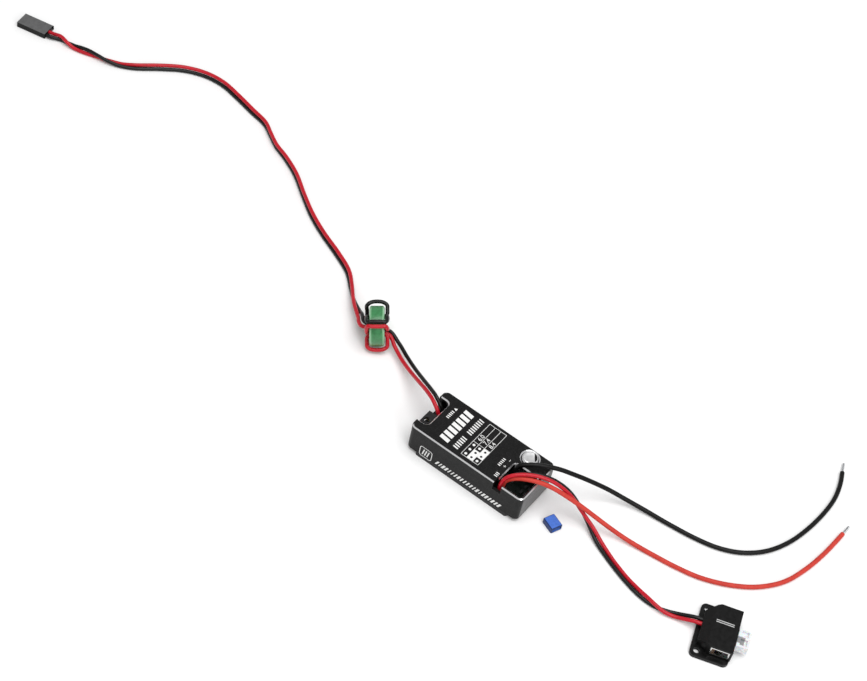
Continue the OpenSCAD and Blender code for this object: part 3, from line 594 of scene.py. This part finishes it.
# %% Sweep the ring and mark its edges
ring_tree, start, end = group_with("coated_ring", [
    ("Middle radius", "Float"), ("Wall", "Float"), ("Width", "Float"),
    ("Edge radius", "Float"), ("Finish", "Material")])
add = partial(node, ring_tree)
section = add("GeometryNodeCurvePrimitiveQuadrilateral", {
    "Width": start.outputs["Wall"], "Height": start.outputs["Width"]})
eased = add("GeometryNodeFilletCurve", {
    "Curve": section.outputs["Curve"], "Radius": start.outputs["Edge radius"],
    "Count": 6}, mode="POLY")
path = add("GeometryNodeCurvePrimitiveCircle", {
    "Radius": start.outputs["Middle radius"], "Resolution": 96})
body = add("GeometryNodeCurveToMesh", {
    "Curve": path.outputs["Curve"], "Profile Curve": eased.outputs["Curve"]})
soft = add("GeometryNodeSetShadeSmooth", {"Geometry": body.outputs["Mesh"]})
finish_group(ring_tree, soft.outputs["Geometry"], start, end)


def ring_finish():
    made, tree, shader = new_finish("ring_epoxy", IOR=1.52, Coat_Weight=0.4,
                                    Coat_Roughness=0.15)
    patches = noise(tree, 1.4, 4)
    body_colour = tones(tree, patches, (0.014, 0.14, 0.035), (0.035, 0.24, 0.075))
    # Painted highlight: the rounded edges are painted a paler green.
    paint(tree, shader, blend_of(tree, stored_value(tree, "edge"), body_colour,
                                 colour(0.22, 0.47, 0.26)),
          span(tree, patches, 0.3, 0.45), noise(tree, 0.5), 0.03, 0.7)
    return made


finishes["ring_epoxy"] = ring_finish()
edge_radius, edge_gain = 1, 2.2
wall = (ring_diameter - ring_hole) / 2
middle = (ring_diameter + ring_hole) / 4
ring = plain_mesh(line_object(), ring_tree, {
    "Middle radius": middle * MM, "Wall": wall * MM, "Width": ring_width * MM,
    "Edge radius": edge_radius * MM, "Finish": finishes["ring_epoxy"]}, "epoxy_ring")
edges = ring.data.attributes.new("edge", "FLOAT", "POINT")
for point, mark in zip(ring.data.vertices, edges.data):
    out = abs(math.hypot(point.co.x, point.co.y) / MM - middle) - (wall / 2 - edge_radius)
    up = abs(point.co.z) / MM - (ring_width / 2 - edge_radius)
    mark.value = max(0, min(1, edge_gain * min(out, up) / edge_radius))
ring_space = Matrix((ring_near, ring_axis.cross(ring_near), ring_axis)).transposed()
ring.data.transform(Matrix.Translation(ring_centre * MM) @ ring_space.to_4x4())
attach(ring, "root")
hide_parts("ferrite_ring")
print("ring", len(ring.data.polygons), "faces, box", [round(v / MM, 2) for v in
                                                     ring.dimensions])

# %% [markdown]
# A lead is known by where it starts, how long and thick it is and what it ends in. The
# lengths are those of the routes, since every lead shows from end to end. Both output wires
# pass through the ring and end in the plug; both switch wires end in the switch. The cell
# below only counts the leads.

# %% Cord facts
print("declared", len(cords), "cords")

# %% [markdown]
# ## The table and the light
# Everything lies on a plain pale table under a large soft light. The world adds an even
# fill, and a second light from the right makes the bright streaks along the wires.

# %% Table and lights
def area_light(name, place, target, size, power):
    data = bpy.data.lights.new(name, "AREA")
    data.shape = "DISK"
    data.size = size
    data.energy = power
    lamp = in_scene(name, data)
    lamp.location = place
    aim = Vector(target) - Vector(place)
    lamp.rotation_euler = aim.to_track_quat("-Z", "Y").to_euler()


table_middle, table_half, table_drop = Vector((-0.08, 0.04, 0)), 6, 0.02 * MM
table_mesh = bpy.data.meshes.new("table")
table_mesh.from_pydata([(table_middle.x + x * table_half, table_middle.y + y * table_half,
                         -table_drop) for x, y in ((-1, -1), (1, -1), (1, 1), (-1, 1))],
                       [], [(0, 1, 2, 3)])
table = in_scene("table", table_mesh)
table_mesh.materials.append(grained("table_paper", (0.9, 0.9, 0.9), (0.92, 0.92, 0.92),
                                    60, 2, 0.01, (0.8, 0.9), Specular_IOR_Level=0.1))
area_light("overhead", (0.25, -0.15, 1.5), (-0.05, 0.03, 0), 1.6, 19)
area_light("side_strip", (0.9, -0.5, 0.7), (0, 0, 0), 0.5, 3)
world = bpy.data.worlds.new("studio")
world.use_nodes = True
backdrop = world.node_tree.nodes["Background"]
backdrop.inputs["Color"].default_value = colour(1, 1, 1)
backdrop.inputs["Strength"].default_value = 0.5
bpy.context.scene.world = world
bpy.context.scene.view_settings.view_transform = "Standard"

# %% [markdown]
# ## The case
# The case is aluminium: blasted to a fine grain, anodised black, and then cut bright along
# its top edges with a diamond tool. The cut is real geometry in the frame, a narrow
# slope, so the finish finds it: a face that leans, near the top. A separate mesh of bright
# strips would do too, but a mask keeps the case in one piece. The grain is a fine noise in
# both colour and bump. The end where the leads go in is painted grey, lighter than the
# black: a painted sheen on that whole face.

# %% Case finish
case_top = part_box("case_cover")[1].z
edge_cut = 0.45 * MM
notch_wall, lead_end = -25.4 * MM, 25.9 * MM
slope, slope_slack = 0.7, 0.2
facing = 0.9  # how squarely a face must look along an axis to count as facing that way


def case_finish():
    made, tree, shader = new_finish("anodised_case", IOR=1.5, Specular_IOR_Level=0.2)
    spot, normal = object_spot(tree), face_normal(tree)
    across = axis_of(tree, spot, "X")
    is_high = maths(tree, "GREATER_THAN", axis_of(tree, spot, "Z"),
                    case_top - 1.05 * edge_cut)
    is_sloped = maths(tree, "COMPARE", axis_of(tree, normal, "Z"), slope, slope_slack)
    is_inside = maths(tree, "GREATER_THAN", across, notch_wall)
    bright = maths(tree, "MULTIPLY", maths(tree, "MULTIPLY", is_high, is_sloped), is_inside)
    # Painted sheen: the end face where the leads go in is painted grey, lighter than the
    # black.
    sheen_on_end = maths(tree, "MULTIPLY",
                 maths(tree, "GREATER_THAN", axis_of(tree, normal, "X"), facing),
                 maths(tree, "GREATER_THAN", across, lead_end))
    speckle = noise(tree, 0.22, 2)
    black = ramp(tree, speckle, [(0.35, (0.001, 0.001, 0.001)),
                                 (0.58, (0.004, 0.004, 0.004)),
                                 (0.72, (0.035, 0.035, 0.036))])
    grey = tones(tree, speckle, (0.1, 0.1, 0.1), (0.17, 0.17, 0.17), 0.35)
    anodised_and_sheen = blend_of(tree, sheen_on_end, black, grey)
    dull = span(tree, noise(tree, 3), 0.4, 0.5)
    gloss, grain = [node(tree, "ShaderNodeMapRange", {
        "Value": bright, "To Min": on_black, "To Max": on_cut}).outputs["Result"]
        for on_black, on_cut in ((dull, 0.3), (0.8, 0.05))]
    link(tree, bright, shader.inputs["Metallic"])
    paint(tree, shader, blend_of(tree, bright, anodised_and_sheen, colour(0.93, 0.93, 0.94)), gloss,
          speckle, 0.03, grain)
    return made


finishes["anodised_case"] = case_finish()
coat_node("case_cover", finishes["anodised_case"])
print("case top at", round(case_top / MM, 2), "mm")

# %% [markdown]
# ## Finishes for the other pieces
# The rest of the frame's nodes keep their shapes. Each material below is one family of
# stuff: moulded plastics, ceramics, metals and the board's glass-epoxy. Only the colour,
# the size of the patches and grain, and the gloss change, so a table of them is clearer
# than a function each. The plug and the jumper have light and shade painted in: a painted
# highlight makes their upper faces paler, and painted shade darkens their sides and hollows.

# %% A table of finishes
plain_finishes = {
    # name: nodes, dark, light, patch mm, grain mm, depth mm, roughness range, fixed values
    "anodised_base": (["base_plate"], (0.008, 0.008, 0.009), (0.02, 0.02, 0.022), 2, 0.2,
                      0.02, (0.4, 0.55), {"Specular_IOR_Level": 0.3}),
    "black_screw": (["base_screws"], (0.03, 0.03, 0.032), (0.07, 0.07, 0.075), 0.8, 0.15,
                    0.01, (0.3, 0.45), {"Metallic": 1}),
    "silicone_pad": (["thermal_pad"], (0.3, 0.46, 0.6), (0.38, 0.54, 0.68), 2, 0.4, 0.03,
                     (0.6, 0.8), {}),
    "solder_mask": (["circuit_board"], (0.001, 0.003, 0.002), (0.002, 0.007, 0.004), 1.5,
                    0.3, 0.01, (0.25, 0.4), {"Specular_IOR_Level": 0.4}),
    "iron_powder": (["power_inductor"], (0.06, 0.06, 0.063), (0.11, 0.11, 0.115), 0.6,
                    0.15, 0.03, (0.6, 0.8), {}),
    "moulded_black": (["capacitor_bases", "jumper_socket", "header_base"],
                      (0.006, 0.006, 0.007), (0.014, 0.014, 0.015), 1.2, 0.15, 0.012,
                      (0.42, 0.55), {"Specular_IOR_Level": 0.35}),
    "chip_epoxy": (["mosfets", "control_chip", "chip_resistors"], (0.014, 0.014, 0.016),
                   (0.03, 0.03, 0.033), 0.5, 0.1, 0.01, (0.5, 0.65), {}),
    "fired_ceramic": (["ceramic_capacitors"], (0.36, 0.25, 0.14), (0.5, 0.37, 0.23), 0.5,
                      0.1, 0.01, (0.4, 0.55), {}),
    "gold_plate": (["header_pins", "plug_contacts"], (0.75, 0.5, 0.18), (0.9, 0.68, 0.3),
                   0.5, 0.1, 0.005, (0.2, 0.32), {"Metallic": 1}),
    "rolled_brass": (["switch_terminals", "switch_wiper", "jumper_contact"],
                     (0.62, 0.43, 0.16), (0.8, 0.58, 0.25), 0.8, 0.15, 0.008,
                     (0.25, 0.4), {"Metallic": 1}),
    "nickel_sheet": (["switch_frame"], (0.6, 0.6, 0.59), (0.8, 0.8, 0.79), 1, 0.12, 0.006,
                     (0.14, 0.28), {"Metallic": 1}),
    "paper_board": (["switch_insulator"], (0.1, 0.05, 0.025), (0.19, 0.1, 0.05), 1, 0.2,
                    0.015, (0.5, 0.65), {}),
    "switch_plastic": (["switch_base", "switch_cover"], (0.002, 0.002, 0.002),
                       (0.006, 0.006, 0.006), 1.5, 0.2, 0.01, (0.28, 0.42),
                       {"Specular_IOR_Level": 0.2}),
}
for name, (nodes, *values, fixed) in plain_finishes.items():
    finishes[name] = grained(name, *values, **fixed)
    for target in nodes:
        coat_node(target, finishes[name])
coat_node("solder_joints", finishes["solder"])


def painted_top_light(name, side, top, patch_mm, rough, **sockets):
    """A moulding with a painted highlight on its upper face, paler than its sides
    and hollows, which carry painted shade.
    """
    made, tree, shader = new_finish(name, **sockets)
    is_up = maths(tree, "GREATER_THAN", axis_of(tree, face_normal(tree), "Z"), facing)
    patches = noise(tree, patch_mm)
    shades = [tones(tree, patches, tone, [1.35 * part for part in tone])
              for tone in (side, top)]
    paint(tree, shader, blend_of(tree, is_up, *shades), span(tree, patches, *rough),
          noise(tree, 0.16, 2), 0.012)
    return made


# Painted light: each moulding's upper face gets a painted highlight, and its sides and
# hollows get painted shade.
finishes["plug_plastic"] = painted_top_light("plug_plastic", (0.004, 0.004, 0.004),
                                    (0.09, 0.09, 0.091), 1.6, (0.5, 0.65),
                                    Specular_IOR_Level=0.25)
finishes["jumper_plastic"] = painted_top_light("jumper_plastic", (0.012, 0.03, 0.12),
                                      (0.055, 0.14, 0.5), 1, (0.35, 0.5),
                                      Specular_IOR_Level=0.3)
for name in ("plug", "jumper"):
    coat_node(f"{name}_housing", finishes[f"{name}_plastic"])
print("finishes:", len(finishes))

# %% [markdown]
# ## The knob
# The switch's knob is moulded in milky, see-through plastic. Part of the light passes
# through, so the hollow under its top greys one patch of it; that grey is painted shade.
# A little transmission and scattering give the milk, and the painted patch is a soft box
# read in the switch's own directions: Object coordinates, turned and moved to the switch's
# place.

# %% Knob finish
def knob_finish():
    made, tree, shader = new_finish("milky_knob", IOR=1.49, Transmission_Weight=0.12,
                                    Subsurface_Weight=0.3, Subsurface_Scale=0.002)
    cloud = noise(tree, 1.5)
    milk = tones(tree, cloud, (0.78, 0.8, 0.82), (0.9, 0.91, 0.92))
    unturned = Matrix.Rotation(-switch_turn, 3, "Z")
    local = node(tree, "ShaderNodeMapping", {
        "Vector": object_spot(tree), "Rotation": (0, 0, -switch_turn),
        "Location": -(unturned @ switch_place) * MM}).outputs["Vector"]
    patch_middle, patch_half = Vector((13.9, -2.1, 4.5)) * MM, Vector((1.5, 1.4, 4)) * MM
    share = local
    for operation, *other in (("SUBTRACT", patch_middle), ("ABSOLUTE",),
                              ("DIVIDE", patch_half)):
        share = node(tree, "ShaderNodeVectorMath", dict(enumerate([share, *other])),
                     operation=operation).outputs["Vector"]
    widest = maths(tree, "MAXIMUM", *[axis_of(tree, share, axis) for axis in "XY"])
    # Painted shade: a grey patch where the hollow under the knob's top darkens it.
    hollow_shade = span(tree, widest, 1, 0, 0.9, 1.1)
    paint(tree, shader, blend_of(tree, hollow_shade, milk, colour(0.3, 0.3, 0.31)),
          span(tree, cloud, 0.2, 0.35), noise(tree, 0.8), 0.004, 0.3)
    return made


finishes["milky_knob"] = knob_finish()
coat_node("switch_knob", finishes["milky_knob"])

# %% [markdown]
# ## The capacitor cans
# A can is drawn aluminium: a turned outline spun round its axis. The shoulder is rounded,
# the top is flat, and a dark printed segment marks the negative side. Spinning an outline
# by hand gives the exact shoulder that the frame's plain can lacks. The segment is part of
# the finish, read from Object coordinates centred on the can.

# %% Spin a can
def mesh_piece(name, shape, place, finish):
    """An object from a bmesh that was drawn in millimetres, put in its place."""
    mesh = bpy.data.meshes.new(name)
    shape.to_mesh(mesh)
    shape.free()
    mesh.transform(place @ Matrix.Scale(MM, 4))
    mesh.materials.append(finish)
    return in_scene(name, mesh)


def spun(name, outline, place, finish, segments=64):
    """A closed shape of revolution from (radius, height) points, in millimetres."""
    shape = bmesh.new()
    rings = []
    for radius, height in outline:
        turns = [math.tau * k / segments for k in range(segments if radius else 1)]
        rings.append([shape.verts.new((radius * cos(turn), radius * sin(turn), height))
                      for turn in turns])
    for low, high in zip(rings, rings[1:]):
        for k in range(segments):
            after = (k + 1) % segments
            corners = [low[k % len(low)], low[after % len(low)],
                       high[after % len(high)], high[k % len(high)]]
            shape.faces.new(list(dict.fromkeys(corners)))
    shape.normal_update()
    bmesh.ops.recalc_face_normals(shape, faces=shape.faces)
    made = mesh_piece(name, shape, Matrix.Translation(place), finish)
    for face in made.data.polygons:
        face.use_smooth = True
    return made


def can_finish(name, middle, radius, top):
    made, tree, shader = new_finish(name, Metallic=1)
    spot = object_spot(tree)
    centred = node(tree, "ShaderNodeMapping", {
        "Vector": spot, "Location": (-middle.x, -middle.y, 0)}).outputs["Vector"]
    toward = node(tree, "ShaderNodeVectorMath", {0: centred, 1: (0.82, 0.57, 0)},
                  operation="DOT_PRODUCT").outputs["Value"]
    marked = maths(tree, "MULTIPLY", maths(tree, "GREATER_THAN", toward, 0.5 * radius),
                   maths(tree, "GREATER_THAN", axis_of(tree, spot, "Z"), top - 0.05 * MM))
    brushed = noise(tree, 1.2, 3, (1, 1, 0.2))
    metal = tones(tree, brushed, (0.86, 0.86, 0.87), (0.95, 0.95, 0.95))
    paint(tree, shader, blend_of(tree, marked, metal, colour(0.03, 0.03, 0.032)),
          span(tree, brushed, 0.3, 0.42), noise(tree, 0.2), 0.003, 0.3)
    return made


# How far in the groove round a can's foot goes, and at what height.
groove = ((0, 0.85), (0.25, 1.05), (0.3, 1.35), (0.25, 1.65), (0, 1.85))
foot_ease, shoulder, rim_width, sunk = 0.1, 0.75, 0.15, 0.03
for name in ("input_capacitor", "output_capacitor"):
    low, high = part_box(name)
    radius = (high.x - low.x) / 2 / MM
    tall = (high.z - low.z) / MM
    base = Vector(((low.x + high.x) / 2, (low.y + high.y) / 2, low.z))
    rounding = [(radius - shoulder + shoulder * cos(radians(a)),
                 tall - shoulder + shoulder * sin(radians(a))) for a in range(0, 91, 15)]
    outline = [(0, 0), (radius - foot_ease, 0), (radius, foot_ease),
               *[(radius - depth, height) for depth, height in groove], *rounding,
               (radius - shoulder - rim_width, tall - sunk), (0, tall - sunk)]

    can = spun(f"can_of_{name}", outline, base,
               can_finish(f"aluminium_{name}", base, radius * MM, high.z))
    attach(can, "root")
    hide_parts(name)
    print(can.name, "radius", round(radius, 2), "height", round(tall, 2))

# %% [markdown]
# ## The print on the case
# The white print is ink: flat shapes a few hundredths of a millimetre thick. The setting
# table beside the notch shows where the jumper goes for each voltage. The other marks are
# plain bars and arrows. Bars repeat, so a tree makes them: boxes instanced along a line,
# with seeded widths, and leaned over like italic strokes. The table's outlines are few
# and different, so they are drawn one by one.

# %% A tree of bars
bar_tree, start, end = group_with("row_of_bars", [
    ("Count", "Int"), ("Pitch", "Float"), ("Bar width", "Float"), ("Bar height", "Float"),
    ("Thickness", "Float"), ("Lean", "Float"), ("Least width", "Float"), ("Seed", "Int"),
    ("Finish", "Material")])
add, given = partial(node, bar_tree), start.outputs
row = add("GeometryNodeMeshLine", {"Count": given["Count"],
                                   "Offset": vector_of(bar_tree, X=given["Pitch"])})
bar = add("GeometryNodeMeshCube", {"Size": vector_of(
    bar_tree, X=given["Bar width"], Y=given["Bar height"], Z=given["Thickness"])})
width = add("FunctionNodeRandomValue", {2: given["Least width"], 3: 1.0,
                                        "Seed": given["Seed"]}, data_type="FLOAT")
bars = add("GeometryNodeInstanceOnPoints", {
    "Points": row.outputs["Mesh"], "Instance": bar.outputs["Mesh"],
    "Scale": vector_of(bar_tree, X=width.outputs[1], Y=1, Z=1)})
solid_bars = add("GeometryNodeRealizeInstances", {"Geometry": bars.outputs["Instances"]})
where = add("GeometryNodeInputPosition").outputs["Position"]
shift = maths(bar_tree, "MULTIPLY", axis_of(bar_tree, where, "Y"), given["Lean"])
leaned = add("GeometryNodeSetPosition", {"Geometry": solid_bars.outputs["Geometry"],
                                         "Offset": vector_of(bar_tree, X=shift)})
finish_group(bar_tree, leaned.outputs["Geometry"], start, end)

# %% [markdown]
# ### Ink
# Ink has almost no thickness, but a surface exactly on the case would flicker with it, so
# each mark is a thin plate half sunk in the wall. Everything on one wall is joined, because
# it was printed in one go. Numerals are set in the built-in typeface.

# %% Ink, and where it goes
finishes["white_ink"] = grained("white_ink", (0.72, 0.72, 0.71), (0.86, 0.86, 0.85), 0.6,
                                0.1, 0.01, (0.5, 0.65))
ink_depth = 0.04
top_plane = Matrix.Translation((0, 0, case_top)) @ Matrix.Rotation(radians(90), 4, "Z")
side_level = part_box("case_cover")[0].y
side_plane = (Matrix.Translation((0, side_level, 0))
              @ Matrix.Rotation(radians(90), 4, "X"))


def join_ink(pieces, plane, name):
    """Joins flat pieces, drawn in millimetres on a plane, into one ink object there."""
    shape = bmesh.new()
    for piece in pieces:
        shape.from_mesh(piece.data)
        bpy.data.objects.remove(piece)
    bmesh.ops.remove_doubles(shape, verts=shape.verts, dist=0.0005)
    bmesh.ops.recalc_face_normals(shape, faces=shape.faces)
    made = mesh_piece(name, shape, plane, finishes["white_ink"])
    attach(made, "root")
    print(name, len(made.data.polygons), "faces")


def bar_row(x, y, count, pitch, width, height, lean=0, least=1.0, seed=1):
    """A row of bars that starts at x and is centred on y, along the print's own X."""
    made = plain_mesh(line_object(), bar_tree, {
        "Count": count, "Pitch": pitch, "Bar width": width, "Bar height": height,
        "Thickness": ink_depth, "Lean": lean, "Least width": least, "Seed": seed,
        "Finish": finishes["white_ink"]}, "bars")
    made.data.transform(Matrix.Translation((x, y, 0)))
    return made


def flat_shape(outline, holes=()):
    """A thin plate with an outline and holes, as lists of points."""
    curve = bpy.data.curves.new("plate", "CURVE")
    curve.dimensions = "2D"
    curve.fill_mode = "BOTH"
    curve.extrude = ink_depth / 2
    for loop in (outline, *holes):
        spline = curve.splines.new("POLY")
        spline.points.add(len(loop) - 1)
        for place, (x, y) in zip(spline.points, loop):
            place.co = (x, y, 0, 1)
        spline.use_cyclic_u = True
    return as_mesh(in_scene("flat", curve), "flat")


def box_loop(x0, y0, x1, y1):
    return [(x0, y0), (x1, y0), (x1, y1), (x0, y1)]


def stroke(x, y, half_x, half_y):
    """A plain box of ink about (x, y)."""
    return flat_shape(box_loop(x - half_x, y - half_y, x + half_x, y + half_y))


def dot_loop(x, y, radius, sides=20):
    return [(x + radius * cos(math.tau * k / sides), y + radius * sin(math.tau * k / sides))
            for k in range(sides)]


def number(words, x, y, size):
    """A numeral that starts at x with its feet on y."""
    text = bpy.data.curves.new("number", "FONT")
    text.body, text.size, text.extrude = words, size, ink_depth / 2
    made = as_mesh(in_scene("flat", text), "flat")
    made.data.transform(Matrix.Translation((x, y, 0)))
    return made

# %% [markdown]
# ### The setting table
# Each of its three rows shows three pins, two of them bridged by a white patch on two of
# the rows, and a voltage. On the top plane X runs across the case, toward its far side,
# and Y toward its notch.

# %% The setting table and its neighbours
line_weight = 0.17
row_ends = [3.9, 1.27, -1.36, -4]
column_ends = [-9.2, -1.25, 9.6]
dots = [-7.9, -5.25, -2.6]
half_line = line_weight / 2
top_ink = [flat_shape(box_loop(column_ends[0], level - half_line,
                               column_ends[2], level + half_line)) for level in row_ends]
top_ink += [flat_shape(box_loop(place - half_line, row_ends[3],
                                place + half_line, row_ends[0])) for place in column_ends]

bridged = {1: (0, 1), 2: (1, 2)}
for k, (high, low) in enumerate(zip(row_ends, row_ends[1:])):
    middle_y = (high + low) / 2
    joined = bridged.get(k, ())
    if joined:
        patch = box_loop(dots[joined[0]] - 1.15, low + 0.1, dots[joined[1]] + 1.2,
                         high - 0.1)
        top_ink.append(flat_shape(patch, [dot_loop(dots[j], middle_y, 0.5)
                                          for j in joined]))
    for j in set(range(3)) - set(joined):
        top_ink.append(flat_shape(dot_loop(dots[j], middle_y, 0.55)))
for k, words in enumerate(("6.0", "7.4", "8.4")):
    top_ink.append(number(words, 0.4, row_ends[k + 1] + 0.42, 2.55))
top_ink += [bar_row(*row) for row in (
    # x, y, count, pitch, width, height, lean, least width, seed
    (-7.6, 12.6, 7, 2.55, 1.75, 4.2, 0.12), (-8.2, 7.1, 6, 1.15, 0.62, 2.3, 0.1, 0.7, 3),
    (0.6, 7.1, 8, 1.15, 0.62, 2.3, 0.1, 0.7, 5), (1.1, 17.8, 5, 0.9, 0.5, 1.3, 0, 0.8, 2),
    (-8.6, -11.8, 3, 0.8, 0.42, 1.4, 0, 0.8, 4),
    (-3.6, -9.8, 5, 0.9, 0.45, 1.2, 0, 0.8, 6))]
arrow = [(5.6, 17.2), (7, 17.2), (6.3, 18.5)]
plus_x, minus_x, sign_y = -2.7, 0.8, -11.8
top_ink += [flat_shape(arrow), stroke(plus_x, sign_y, 0.5, 0.1),
            stroke(plus_x, sign_y, 0.1, 0.5), stroke(minus_x, sign_y, 0.45, 0.1)]
join_ink(top_ink, top_plane, "print_on_top")

# %% [markdown]
# ### The near side
# A maker would put a mark and a name here. A plain badge and a row of leaning bars of
# seeded widths take up the same room and say nothing.

# %% The marks on the near side
badge_x, badge_z, badge_width, badge_height, badge_line = -17, 4.4, 2.9, 2.7, 0.3


def rounded_loop(x, y, half_x, half_y, radius, steps=5):
    """A rectangle with round corners, about (x, y)."""
    loop = []
    for k, (sx, sy) in enumerate(((1, 1), (-1, 1), (-1, -1), (1, -1))):
        for j in range(steps + 1):
            a = radians(90 * k + 90 * j / steps)
            loop.append((x + sx * (half_x - radius) + radius * cos(a),
                         y + sy * (half_y - radius) + radius * sin(a)))
    return loop


badge_hole = rounded_loop(badge_x, badge_z, badge_width - badge_line,
                          badge_height - badge_line, 0.85)
side_ink = [flat_shape(rounded_loop(badge_x, badge_z, badge_width, badge_height, 1.1),
                       [badge_hole]),
            bar_row(badge_x - 1.1, badge_z, 3, 1.1, 0.5, 3.2, 0.2),
            bar_row(-11.4, 3.6, 21, 1.45, 1.05, 2.2, 0.55, 0.45, 9)]
join_ink(side_ink, side_plane, "print_on_side")

# %% [markdown]
# ## Small shapes on the switch
# The top of the switch carries a raised double rib, a finger's guide for the knob. Two
# short bars with chamfered ends are enough; they sit on the cover and share its plastic,
# painted pale grey as a painted glint where the ribs catch the light.

# %% Ribs on the switch
# Painted highlight: the ribs' pale grey is a painted glint, not the plastic's own colour.
finishes["painted_glint_rib"] = grained("painted_glint_rib", (0.42, 0.42, 0.42), (0.6, 0.6, 0.6), 2, 0.3,
                               0.004, (0.3, 0.45))


def chamfered_bar(shape, x0, x1, y, low, high, width, cut):
    """A bar along X whose top is narrower than its foot."""
    half = width / 2
    loops = []
    for level, inset in ((low, 0), (high - cut, 0), (high, cut)):
        loops.append([shape.verts.new((x, yy, level)) for x, yy in (
            (x0 + inset, y - half + inset), (x1 - inset, y - half + inset),
            (x1 - inset, y + half - inset), (x0 + inset, y + half - inset))])
    for a, b in zip(loops, loops[1:]):
        for k in range(4):
            shape.faces.new((a[k], a[(k + 1) % 4], b[(k + 1) % 4], b[k]))
    shape.faces.new(reversed(loops[0]))
    shape.faces.new(loops[-1])


switch_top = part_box("switch_cover")[1].z / MM
rib_ends, rib_height, rib_width, rib_cut = (3.6, 10.4), 0.2, 0.35, 0.1
ribs = bmesh.new()
for y in (1.55, 2.35):
    chamfered_bar(ribs, *rib_ends, y, switch_top, switch_top + rib_height, rib_width,
                  rib_cut)
rib_piece = mesh_piece("switch_ribs", ribs, Matrix.Translation(switch_place * MM)
                       @ Matrix.Rotation(switch_turn, 4, "Z"), finishes["painted_glint_rib"])
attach(rib_piece, "root")
print("ribs top", round(switch_top + rib_height, 2), "mm")
